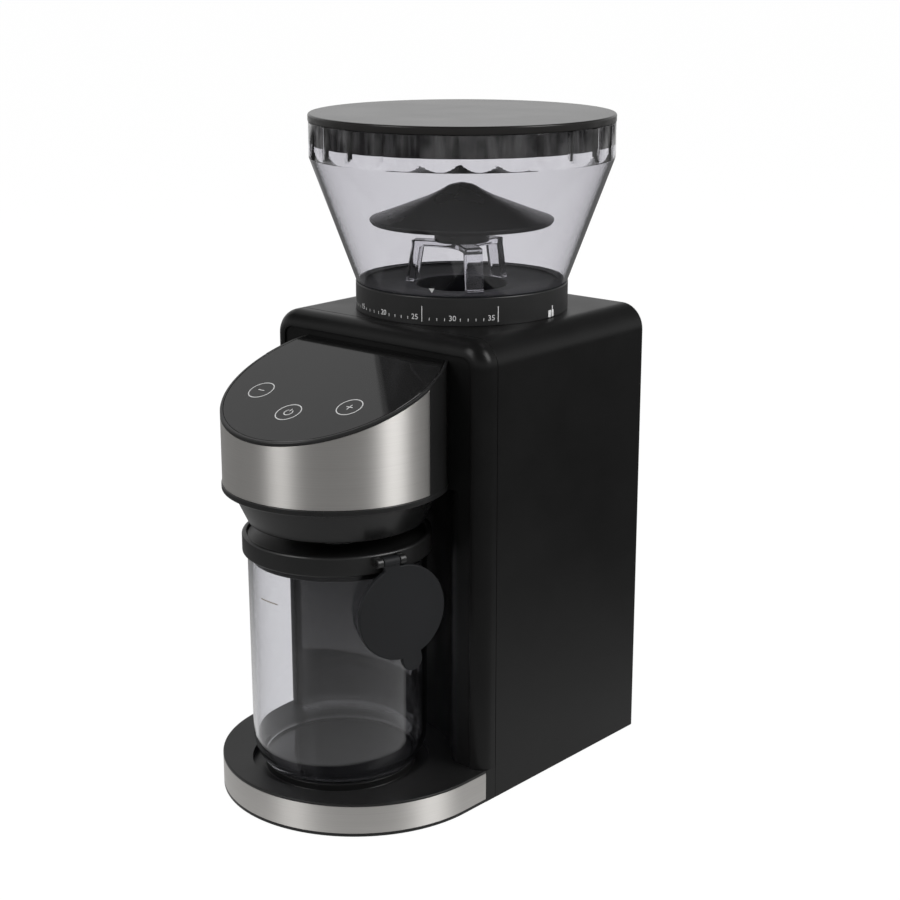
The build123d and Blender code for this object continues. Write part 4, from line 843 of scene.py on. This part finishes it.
PANEL_NORMAL = Matrix.Rotation(radians(PANEL_SLOPE), 3, "X") @ Vector((0, 0, 1))


def on_panel(drop):
    """A point in the panel's plane, lowered by a drop."""
    return Vector((0, FRONT_Y, PANEL_TOP - drop))


def on_slope(edge):
    """Whether an edge lies in the panel's plane."""
    return all(abs((end.co - on_panel(0)).dot(PANEL_NORMAL)) < ON_PLANE for end in edge.verts)


def head_shell():
    """Black drum: floor and lip, inner wall, the rim above the steel and the bare part behind it."""
    inner = HEAD_RADIUS - HEAD_WALL
    under_band = HEAD_RADIUS - BAND_SINK
    inside = HEAD_BOTTOM + HEAD_FLOOR
    high = TOWER_TOP + UNCUT
    drum = turned(
        JAR_AT, (SPOUT, HEAD_BOTTOM), (LIP_RADIUS, HEAD_BOTTOM, 0.7), (LIP_RADIUS, LIP_TOP, 0.4),
        (under_band, LIP_TOP), (under_band, high), (inner, high), (inner, inside), (SPOUT, inside))
    cut(drum, (0, FACE_Y, 0), (0, 1, 0))
    cut(drum, on_panel(PANEL_THICK), PANEL_NORMAL)

    def ring(low):
        return turned(JAR_AT, (PANEL_SEAT, low), (HEAD_RADIUS, low), (HEAD_RADIUS, high), (PANEL_SEAT, high))

    rim = cut(ring(HEAD_BOTTOM), (0, HEAD_BAND_Y, 0), (0, 1, 0))
    cut(rim, on_panel(0), PANEL_NORMAL)
    cut(rim, on_panel(BAND_RIM), -PANEL_NORMAL)
    back = cut(ring(LIP_TOP - LIP_OVERLAP), (0, FACE_Y, 0), (0, 1, 0))
    cut(back, (0, HEAD_BAND_Y, 0), (0, -1, 0))
    cut(back, on_panel(0), PANEL_NORMAL)
    for part in (rim, back):
        soften(welded(part), RIM_SOFT, 2, 40, on_slope)
    return joined(drum, rim, back)


def head_band():
    """Steel sheet wrapped round the head, cut off along the panel's slope."""
    mesh = moved(circle(HEAD_RADIUS, False), (*JAR_AT, LIP_TOP + BAND_EASE))
    carried(mesh, wire_of(mesh), (0, 0, TOWER_TOP - LIP_TOP))
    cut(mesh, on_panel(BAND_RIM + SEAM_GAP), PANEL_NORMAL, False)
    cut(mesh, (0, HEAD_BAND_Y - SEAM_GAP, 0), (0, 1, 0), False)
    walled(mesh, STEEL, (*JAR_AT, HEAD_BOTTOM))
    return soften(mesh, STEEL_EDGE, 2, 45)


def sloped(mesh):
    """Lifts a level mesh onto the panel's slope."""
    for point in mesh.verts:
        point.co.z += PANEL_TOP + tan(radians(PANEL_SLOPE)) * (point.co.y - FRONT_Y)
    return mesh


def touch_panel():
    """Glossy plate with a soft upper edge."""
    mesh = moved(circle(PANEL_RADIUS, True), (*JAR_AT, 0))
    cut(mesh, (0, FACE_Y - SEAM_GAP, 0), (0, 1, 0), False)
    far = edges_of(carried(mesh, wire_of(mesh), (0, 0, SEAM_GAP - PANEL_THICK)))
    welded(filled(mesh, far))
    return soften(sloped(mesh), PANEL_SOFT, 3, 40, on_slope)


def flat_ring(outer, inner):
    """A thin level ring."""
    return turned((0, 0), (inner, -HAIR), (outer, -HAIR), (outer, HAIR), (inner, HAIR), steps=64)


def flat_arc(outer, inner, gap):
    """A thin level ring with a gap towards +Y."""
    start = radians(90 + gap / 2)
    lines = [drawn("XY", [(radius * cos(start), radius * sin(start)), Arc(0, 0, 360 - gap)], False)
             for radius in (outer, inner)]
    mesh = joined(*lines)
    bmesh.ops.bridge_loops(mesh, edges=mesh.edges[:])
    return walled(moved(mesh, (0, 0, -HAIR)), 2 * HAIR, (0, 0, -1))


def flat_bar(x, y, wide, tall):
    """A thin level bar round a middle."""
    return block((x - wide / 2, y - tall / 2, -HAIR), (x + wide / 2, y + tall / 2, HAIR), HAIR / 2)


def touch_keys():
    """Three keys: a ring each, with minus, plus and a power mark."""
    parts = []
    for label, (x, y) in KEYS.items():
        marks = [flat_ring(KEY_RING, KEY_RING - KEY_LINE)]
        if label == "power":
            marks.append(flat_arc(POWER_RADIUS, POWER_RADIUS - KEY_LINE, POWER_GAP))
            marks.append(flat_bar(0, POWER_BAR, KEY_LINE, POWER_BAR))
        else:
            marks.append(flat_bar(0, 0, MARK_WIDTH, KEY_LINE))
        if label == "plus":
            middle, tall = PLUS_ARM
            marks += [flat_bar(0, side * middle, KEY_LINE, tall) for side in (1, -1)]
        parts.append(moved(joined(*marks), (x, JAR_Y + y, 0)))
    return sloped(joined(*parts))


def funnel():
    """Conical skirt under the head."""
    inside = FUNNEL_LOW + FUNNEL_WALL
    return turned(
        JAR_AT, (SPOUT, FUNNEL_LOW), (FUNNEL_FOOT, FUNNEL_LOW, 0.8), (FUNNEL_TOP, HEAD_BOTTOM),
        (FUNNEL_TOP - FUNNEL_WALL, HEAD_BOTTOM), (FUNNEL_FOOT - FUNNEL_WALL, inside), (SPOUT, inside))


piece("head_drum", head_shell(), head_black, "grinder_body", "head_black", "head_shell")
piece("head_steel", head_band(), band_steel, "grinder_body", "band_steel", "head_band")
piece("touch_plate", touch_panel(), panel_gloss, "grinder_body", "panel_black", "touch_panel")
piece("touch_marks", touch_keys(), icon_grey, "grinder_body", "panel_black")
piece("outlet_skirt", funnel(), chute_black, "grinder_body", "chute_black", "outlet_funnel")


# Collar


def collar():
    """Fixed ring on the tower's top."""
    return turned(
        HOPPER_AT, (COLLAR_BORE, FLANGE_TOP), (COLLAR_SPIGOT, FLANGE_TOP), (COLLAR_SPIGOT, TOWER_TOP),
        (COLLAR_RADIUS, TOWER_TOP, 0.25), (COLLAR_RADIUS, COLLAR_TOP, 0.6),
        (COLLAR_INNER, COLLAR_TOP, 0.4), (COLLAR_INNER, COLLAR_FLOOR), (COLLAR_BORE, COLLAR_FLOOR))


def wrapped(mesh, azimuth, z, axis_y=HOPPER_Y, bend=COLLAR_RADIUS, radius=COLLAR_RADIUS):
    """Bends a level mesh round an upright axis, with its Y upright."""
    for point in mesh.verts:
        angle = radians(azimuth) + point.co.x / bend
        point.co = around(angle, radius + point.co.z, axis_y, z + point.co.y)
    return mesh


def lettered(text):
    """A number as a thin level mesh, round its middle."""
    curve = bpy.data.curves.new("number", "FONT")
    curve.body = text
    curve.size = NUMBER_SIZE
    curve.align_x = "CENTER"
    curve.align_y = "CENTER"
    curve.extrude = HAIR
    curve.resolution_u = 3
    holder = bpy.data.objects.new("number", curve)
    data = bpy.data.meshes.new_from_object(holder)
    mesh = bmesh.new()
    mesh.from_mesh(data)
    bpy.data.objects.remove(holder)
    bpy.data.curves.remove(curve)
    bpy.data.meshes.remove(data)
    return mesh


def scale_print():
    """Numbers, ticks and dividing lines round the collar."""
    parts = []
    for setting in range(SCALE_END + 1):
        azimuth = SCALE_START + setting * SCALE_STEP
        if setting % NUMBER_EVERY == 0:
            parts.append(wrapped(lettered(str(setting)), azimuth, NUMBER_Z))
        else:
            parts.append(wrapped(flat_bar(0, 0, *TICK), azimuth, TICK_Z))
    for setting in DIVIDERS:
        parts.append(wrapped(flat_bar(0, 0, *DIVIDER), SCALE_START + setting * SCALE_STEP, DIVIDER_Z))
    return joined(*parts)


def open_lock():
    """Mark for the place where the hopper lifts off: a padlock with its bow open."""
    bow = applied(flat_arc(*LOCK_BOW), Matrix.Rotation(pi, 4, "Z"))
    mark = joined(flat_bar(*LOCK_BODY), flat_bar(*LOCK_LEG), moved(bow, LOCK_BOW_AT))
    return wrapped(mark, LOCK_AZIMUTH, LOCK_Z)


piece("setting_collar", collar(), collar_black, "grinder_body", "collar_black", "grind_collar")
piece("setting_scale", joined(scale_print(), open_lock()), print_grey, "grinder_body", "collar_black")


# Hopper


def hopper_bowl():
    """Clear bowl: a cone under a straight band, which is lobed inside. The cone runs up its grooves."""
    mesh = drawn("XZ", [
        (HOPPER_HELD, HOPPER_LOW), (HOPPER_FOOT, HOPPER_LOW, 0.15), (HOPPER_RADIUS, HOPPER_BREAK),
        (HOPPER_RADIUS, HOPPER_TOP, 0.2), (GROOVE_RADIUS, HOPPER_TOP), (GROOVE_RADIUS, GROOVE_LOW),
        (LOBE_RADIUS, LOBE_LOW), (HOPPER_FOOT - HOPPER_WALL, HOPPER_FLOOR),
        (HOPPER_HELD, HOPPER_FLOOR)], True)
    run_up = [edge for edge in mesh.edges if all(LOBE_LOW - WELD < end.co.z < GROOVE_LOW + WELD
                                                 and end.co.x < GROOVE_RADIUS + WELD for end in edge.verts)]
    bmesh.ops.subdivide_edges(mesh, edges=run_up, cuts=24)
    spun(mesh, (0, 0), LOBES * LOBE_STEPS)
    pitch = tau / LOBES
    for point in mesh.verts:
        radius = hypot(point.co.x, point.co.y)
        if LOBE_RADIUS < radius < GROOVE_RADIUS + WELD and point.co.z > LOBE_LOW:
            azimuth = atan2(point.co.x, -point.co.y) - radians(GROOVE_AZIMUTH)
            across = (azimuth % pitch) / pitch * 2 - 1
            limit = LOBE_RADIUS + (GROOVE_RADIUS - LOBE_RADIUS) * across ** 2
            if radius > limit:
                point.co.x *= limit / radius
                point.co.y *= limit / radius
    return moved(welded(mesh), (*HOPPER_AT, 0))


def pointer():
    """Printed triangle on the hopper's foot that points at the scale."""
    mesh = applied(circle(POINTER_RADIUS, True, 3), Matrix.Rotation(pi, 4, "Z"))
    walled(moved(mesh, (0, 0, HAIR)), 2 * HAIR, (0, 0, -1))
    lean = atan2(HOPPER_RADIUS - HOPPER_FOOT, HOPPER_BREAK - HOPPER_LOW)
    radius = HOPPER_FOOT + tan(lean) * (POINTER_Z - HOPPER_LOW)
    azimuth = radians(POINTER_AZIMUTH)
    upright = Matrix.Rotation(pi / 2 + lean, 4, "X")
    turn = Matrix.Rotation(azimuth, 4, "Z")
    return applied(mesh, Matrix.Translation(around(azimuth, radius, HOPPER_Y, POINTER_Z)) @ turn @ upright)


def dish():
    """Dark floor of the hopper with its rim, throat and neck."""
    return turned(
        HOPPER_AT, (THROAT, NECK_LOW), (NECK, NECK_LOW), (NECK, DISH_LOW), (DISH_RADIUS, DISH_LOW),
        (DISH_RADIUS, FLANGE_LOW), (DISH_FLANGE, FLANGE_LOW), (DISH_FLANGE, DISH_RIM),
        (DISH_INNER, DISH_RIM), (DISH_INNER, DISH_TOP + DISH_RISE, 0.3),
        (THROAT + DISH_FLAT, DISH_TOP, 1.0), (THROAT, DISH_TOP, 0.8))


def bridge():
    """Clear bridge: a hub with three arms, and a leaning leg under each arm's end."""
    half = LEG_WIDTH / 2
    spread = tau / LEGS
    hollow = half / tan(spread / 2)
    corners = []
    for step in range(LEGS):
        turn = Matrix.Rotation(step * spread, 2)
        for x, y, reach in ((LEG_FAR, -half, LEG_ROUND), (LEG_FAR, half, LEG_ROUND),
                            (hollow, half, HUB_ROUND)):
            corners.append((*(turn @ Vector((x, y))), reach))
    mesh = moved(drawn("XY", corners, True), (0, 0, BRIDGE_TOP))
    slab(mesh, (0, 0, BRIDGE_LOW - BRIDGE_TOP))
    ways = [Matrix.Rotation(step * spread, 3, "Z") @ Vector((1, 0, 0)) for step in range(LEGS)]
    for out in ways:
        bmesh.ops.bisect_plane(mesh, geom=wire_of(mesh) + mesh.faces[:], dist=WELD, plane_co=out * LEG_NEAR,
                               plane_no=out)
    soles = [face for face in mesh.faces
             if face.normal.z < -LEVEL and face.calc_center_median().xy.length > LEG_NEAR]
    done = bmesh.ops.extrude_face_region(mesh, geom=soles)
    bmesh.ops.delete(mesh, geom=soles, context="FACES_ONLY")
    low = [part for part in done["geom"] if isinstance(part, bmesh.types.BMVert)]
    bmesh.ops.translate(mesh, vec=(0, 0, DISH_TOP + SEAM_GAP - BRIDGE_LOW), verts=low)
    for out in ways:
        high = [point for point in mesh.verts
                if point.co.z > BRIDGE_LOW - WELD and point.co.dot(out) > LEG_NEAR - WELD]
        bmesh.ops.translate(mesh, vec=-LEG_LEAN * out, verts=high)
    soften(welded(mesh), LEG_SOFT, 3, 60)
    turn = Matrix.Rotation(radians(LEG_AZIMUTH - 90), 4, "Z")
    return applied(mesh, Matrix.Translation((*HOPPER_AT, 0)) @ turn)


def bean_guard():
    """Dark hollow cone with a soft tip and a flatter brim."""
    sole = BRIDGE_TOP + SEAM_GAP
    return turned(
        HOPPER_AT, (0, sole), (BOSS_RADIUS, sole, 0.6), (BOSS_RADIUS, GUARD_ROOF),
        (BRIM_RADIUS, BRIM_LOW), (GUARD_RADIUS - GUARD_UNDERCUT, GUARD_LOW, 0.8),
        (GUARD_RADIUS, GUARD_LOW + GUARD_EDGE, 1.1), (BRIM_RADIUS, BRIM_TOP, 5.0), (*GUARD_SHOULDER, 5.5),
        (*GUARD_TIP, 3.5), (0, GUARD_APEX))


def hopper_lid():
    """Disc lid with a soft edge and a skirt that drops into the hopper."""
    return turned(
        HOPPER_AT, (0, LID_HOLLOW), (SKIRT_INNER, LID_HOLLOW, 0.6), (SKIRT_INNER, SKIRT_LOW, 0.5),
        (SKIRT_RADIUS, SKIRT_LOW, 0.5), (SKIRT_RADIUS, LID_LOW), (LID_RADIUS, LID_LOW, 0.5),
        (LID_RADIUS, LID_TOP, 0.9), (0, LID_TOP), steps=160)


piece("hopper_cone", hopper_bowl(), hopper_clear, "hopper", "hopper_clear", "hopper_bowl", crease=14)
piece("hopper_pointer", pointer(), print_grey, "hopper", "hopper_clear")
piece("hopper_floor", dish(), dish_smoke, "hopper", "dish_smoke", "hopper_dish")
piece("guard_legs", bridge(), hopper_clear, "hopper", "hopper_clear", "guard_bridge")
piece("guard_cone", bean_guard(), guard_black, "hopper", "lid_black", "bean_guard")
piece("lid_disc", hopper_lid(), lid_black, "lid", "lid_black", "hopper_lid")


# Jar


def jar_cup():
    """Clear jar with a curved foot."""
    def toe_turn(inset):
        radius = JAR_CURVE - inset
        rise = JAR_CURVE_TOP - (JAR_LOW + inset + JAR_TOE)
        return degrees(asin(rise / radius))

    outer_turn = toe_turn(0)
    toe = JAR_CURVE_MIDDLE + JAR_CURVE * cos(radians(outer_turn))
    inside = JAR_LOW + JAR_WALL
    return turned(
        JAR_AT, (0, JAR_LOW), (JAR_SOLE, JAR_LOW, 0.6), (toe, JAR_LOW + JAR_TOE),
        Arc(JAR_CURVE_MIDDLE, JAR_CURVE_TOP, outer_turn), (JAR_RADIUS, JAR_TOP, 0.5),
        (JAR_RADIUS - JAR_WALL, JAR_TOP, 0.5), (JAR_FOOT - JAR_WALL, JAR_CURVE_TOP),
        Arc(JAR_CURVE_MIDDLE, JAR_CURVE_TOP, -toe_turn(JAR_WALL)), (JAR_FLOOR, inside, 0.6), (0, inside),
        steps=144)


HINGE = (Matrix.Translation(around(radians(FLAP_AZIMUTH), HINGE_RADIUS, JAR_Y, HINGE_Z))
         @ Matrix.Rotation(radians(FLAP_AZIMUTH), 4, "Z"))


def barrel(start, end):
    """A tube along the hinge, with softened ends."""
    mesh = turned(
        (0, 0), (PIN_BORE, start), (KNUCKLE, start, 0.3), (KNUCKLE, end, 0.3), (PIN_BORE, end), steps=32)
    return applied(mesh, Matrix.Rotation(pi / 2, 4, "Y"))


def jar_lid():
    """Black lid with a raised rim, a pouring hole, a plug and two lugs for the flap's pin."""
    lid = turned(
        JAR_AT, (POUR_RADIUS, LID_PLATE_LOW), (PLUG_INNER, LID_PLATE_LOW), (PLUG_INNER, PLUG_LOW),
        (PLUG_RADIUS, PLUG_LOW, 0.4), (PLUG_RADIUS, LID_PLATE_LOW), (JAR_GRIP, LID_PLATE_LOW),
        (JAR_GRIP, JAR_LID_LOW), (JAR_LID_RADIUS, JAR_LID_LOW, 0.8), (JAR_LID_RADIUS, JAR_LID_TOP, 1.1),
        (LID_BEAD, JAR_LID_TOP, 0.9), (LID_BEAD, LID_PLATE_TOP, 0.5), (POUR_RADIUS, LID_PLATE_TOP, 0.6))
    lugs = []
    for start, end in ((-LUG_FAR, -LUG_NEAR), (LUG_NEAR, LUG_FAR)):
        lugs.append(barrel(start, end))
        lugs.append(block((start, LUG_FRONT, -KNUCKLE), (end, LUG_BACK, KNUCKLE), 0.4))
    return joined(lid, applied(joined(*lugs), HINGE))


def jar_flap():
    """Soft flap: a disc with a strap over the hinge and a finger tab below."""
    strap_z = -FLAP_ARM + sqrt(FLAP_RADIUS ** 2 - STRAP_HALF ** 2)
    tab_top = -FLAP_ARM - sqrt(FLAP_RADIUS ** 2 - TAB_RADIUS ** 2)
    strap_turn = degrees(asin(STRAP_HALF / FLAP_RADIUS))
    tab_turn = degrees(asin(TAB_RADIUS / FLAP_RADIUS))
    side = 180 - strap_turn - tab_turn
    outline = drawn("XZ", [
        (STRAP_HALF, STRAP_TOP), (STRAP_HALF, strap_z), Arc(0, -FLAP_ARM, -side), (TAB_RADIUS, TAB_Z),
        Arc(0, TAB_Z, -180), (-TAB_RADIUS, tab_top), Arc(0, -FLAP_ARM, -side),
        (-STRAP_HALF, STRAP_TOP)], True)
    welded(outline)
    tilt = radians(FLAP_TILT)
    for point in outline.verts:
        x, z = point.co.x, point.co.z
        hang = tilt * min(1.0, max(0.0, (STRAP_TOP - z) / STRAP_BEND))
        point.co.x = x * cos(hang) - z * sin(hang)
        point.co.z = x * sin(hang) + z * cos(hang)
    mesh = moved(slab(outline, (0, FLAP_THICK, 0)), (0, -FLAP_THICK / 2, 0))
    soften(mesh, FLAP_SOFT, 3, 60)
    plug_inner = FLAP_PLUG - PLUG_WALL
    plug = turned(
        (0, 0), (plug_inner, 0), (FLAP_PLUG, 0), (FLAP_PLUG, PLUG_TALL, FLAP_SOFT),
        (plug_inner, PLUG_TALL, FLAP_SOFT), steps=96)
    disc_middle = (FLAP_ARM * sin(tilt), FLAP_THICK / 2, -FLAP_ARM * cos(tilt))
    applied(plug, Matrix.Translation(disc_middle) @ Matrix.Rotation(-pi / 2, 4, "X"))
    return applied(joined(mesh, plug, barrel(-STRAP_HALF, STRAP_HALF)), HINGE)


def fill_line():
    """Printed line on the jar at its full mark."""
    mesh = flat_bar(0, 0, FILL_WIDTH, FILL_LINE)
    wide = [edge for edge in mesh.edges if edge.calc_length() > FILL_WIDTH / 2]
    bmesh.ops.subdivide_edges(mesh, edges=wide, cuts=14, use_grid_fill=True)
    return wrapped(mesh, FILL_AZIMUTH, FILL_Z, JAR_Y, JAR_RADIUS, FILL_RADIUS + HAIR)


piece("jar_glass", jar_cup(), jar_clear, "jar", "jar_clear", "jar_cup", crease=30)
piece("jar_cover", jar_lid(), jar_lid_black, "jar", "jar_lid_black", "jar_lid")
piece("pour_flap", jar_flap(), flap_rubber, "flap", "flap_rubber", "jar_flap")
piece("jar_fill_line", fill_line(), fill_print, "jar", "jar_clear")


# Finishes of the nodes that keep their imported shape

KEPT = {
    plastic("underside_black", 0.018, 0.026, 0.5, 0.6, 0.3): ["bottom_plate"],
    metal("screw_steel", 0.45, 0.35, 0.25, 0.4, 0.1): [
        "base_screws", "gearbox_screws", "chamber_screws", "motor_screws", "idler_axle"],
    plastic("board_green", (0.01, 0.09, 0.03), (0.015, 0.12, 0.04), 0.3, 0.4): [
        "touch_board", "power_board"],
    chute_black: ["grounds_chute", "flap_pin"],
    plastic("carrier_black", 0.012, 0.018, 0.35, 0.45): [
        "burr_carrier", "impeller", "hopper_switch", "motor_end_cap", "cord_inlet"],
    metal("burr_steel", 0.42, 0.30, 0.22, 0.36, 0.2): ["ring_burr", "inner_burr", "burr_nut"],
    metal("gear_steel", 0.5, 0.4, 0.2, 0.3, 0.1): ["burr_shaft", "motor_pinion"],
    plastic("gear_nylon", (0.72, 0.70, 0.62), (0.78, 0.76, 0.68), 0.4, 0.5): [
        "output_gear", "idler_gear"],
    plastic("case_grey", 0.16, 0.20, 0.45, 0.55, 0.3): [
        "gearbox_case", "gearbox_cover", "chamber_body"],
    metal("bearing_bronze", (0.55, 0.38, 0.18), (0.45, 0.30, 0.14), 0.25, 0.4, 0.1): [
        "upper_bearing", "lower_bearing"],
    plastic("motor_zinc", 0.42, 0.52, 0.35, 0.5, 0.2, Metallic=1.0): ["motor_can"],
    metal("armature_core", (0.42, 0.2, 0.1), (0.5, 0.26, 0.13), 0.3, 0.45, 0.2, GRAIN_DEPTH): [
        "motor_armature"],
    plastic("seal_rubber", 0.02, 0.03, 0.6, 0.7): ["jar_seal"],
}
for look, names in KEPT.items():
    for name in names:
        for holder in frame["nodes"][name].material_slots:
            holder.material = look


# Floor, light and camera

MIDDLE = Vector((0.0, 0.0, 0.16))
FILL = 0.55  # level of the room where it lights
ROOM_LOW = 0.75  # level of the room in reflections, near the horizon
ROOM_HIGH = 0.1  # and overhead
ROOM_RISE = (0.16, 0.5)  # heights of a direction between which it fades
FLOOR_SIZE = 12  # metres from the middle to a side
FLOOR_GREY = 0.86
FLOOR_ROUGH = 0.9
FLOOR_SHARE = 0.94  # the floor's own white where it is seen; the rest takes the shadow
FLOOR_WHITE = 1.03  # level of that white, so that both add up to the room's
FLOOR_NEAR = 0.6  # level of the floor in reflections, by the object
FLOOR_MID = 0.12  # a little further
FLOOR_FAR = (0.04, 0.8)  # and far away, in soft patches
PATCHES = (0.42, 0.62)  # values of a noise between which a patch fades
NEAR_FADE = (0.12, 0.4)  # metres from the middle between which it changes
FAR_FADE = (1.2, 2.4)


def ray_masks(tree):
    """Where a ray comes straight or through clear parts from the camera, and where it was reflected."""
    rays = wired(tree, "LightPath").outputs
    reflected = reckoned(tree, "MINIMUM", rays["Glossy Depth"], 1.0)
    ahead = reckoned(tree, "MAXIMUM", rays["Is Camera Ray"], rays["Is Transmission Ray"])
    return reckoned(tree, "SUBTRACT", ahead, reflected, True), reflected


def floor_material():
    """White floor: mostly its own white where it is seen, so that the shadow stays pale."""
    material, tree = plain("floor_white", Base_Color=colour(FLOOR_GREY), Roughness=FLOOR_ROUGH)
    seen, reflected = ray_masks(tree)
    place = object_place(tree)
    away = wired(tree, "VectorMath", {0: place}, operation="LENGTH").outputs["Value"]
    patches = ranged(tree, noise(tree, place), *FLOOR_FAR, *PATCHES)
    close = ranged(tree, away, FLOOR_NEAR, FLOOR_MID, *NEAR_FADE)
    gloss = ranged(tree, away, close, patches, *FAR_FADE)
    glow = wired(tree, "Emission", {"Strength": ranged(tree, seen, gloss, FLOOR_WHITE)})
    mixed_in(tree, ranged(tree, seen, reflected, FLOOR_SHARE), glow)
    return material


def floor():
    """Wide pale floor."""
    mesh = bmesh.new()
    bmesh.ops.create_grid(mesh, x_segments=8, y_segments=8, size=FLOOR_SIZE)
    ground = put("floor", stored(mesh, "floor"))
    ground.data.materials.append(floor_material())


def world():
    """White all round where it is seen, and softer where it lights or is reflected."""
    room = bpy.data.worlds.new("room")
    room.use_nodes = True
    tree = room.node_tree
    seen, reflected = ray_masks(tree)
    way = wired(tree, "SeparateXYZ", {0: wired(tree, "TexCoord").outputs["Generated"]})
    gloss = ranged(tree, way.outputs["Z"], ROOM_LOW, ROOM_HIGH, *ROOM_RISE)
    light = ranged(tree, reflected, FILL, gloss)
    back = tree.nodes["Background"]
    back.inputs["Color"].default_value = colour(1.0)
    tree.links.new(ranged(tree, seen, light, 1.0), back.inputs["Strength"])
    bpy.context.scene.world = room


def softbox(name, azimuth, height, away, wide, tall, power):
    """A rectangular lamp that looks at the middle from an azimuth, a height in degrees and a distance."""
    lamp = bpy.data.lights.new(name, "AREA")
    lamp.shape = "RECTANGLE"
    lamp.size = wide
    lamp.size_y = tall
    lamp.energy = power
    up = radians(height)
    way = around(radians(azimuth), cos(up), 0.0, sin(up))
    holder = put(name, lamp)
    holder.location = MIDDLE + away * way
    holder.rotation_euler = way.to_track_quat("Z", "Y").to_euler()
    holder.visible_transmission = False  # it lights through clear parts, without a spot in them


floor()
world()
softbox("back_light", -122, 48, 1.5, 1.5, 1.5, 3.6)
softbox("front_light", -16, 34, 1.6, 0.6, 0.9, 9)
softbox("side_light", 106, 36, 1.6, 0.7, 0.9, 16)

camera = bpy.data.cameras.new("photo_view")
camera.lens = LENS
camera.sensor_width = SENSOR
viewer = put("photo_view", camera)
viewer.location = Vector(EYE) * MM
viewer.rotation_euler = (radians(90 - PITCH), 0, radians(YAW))
bpy.context.scene.camera = viewer
bpy.context.scene.view_settings.view_transform = "Standard"
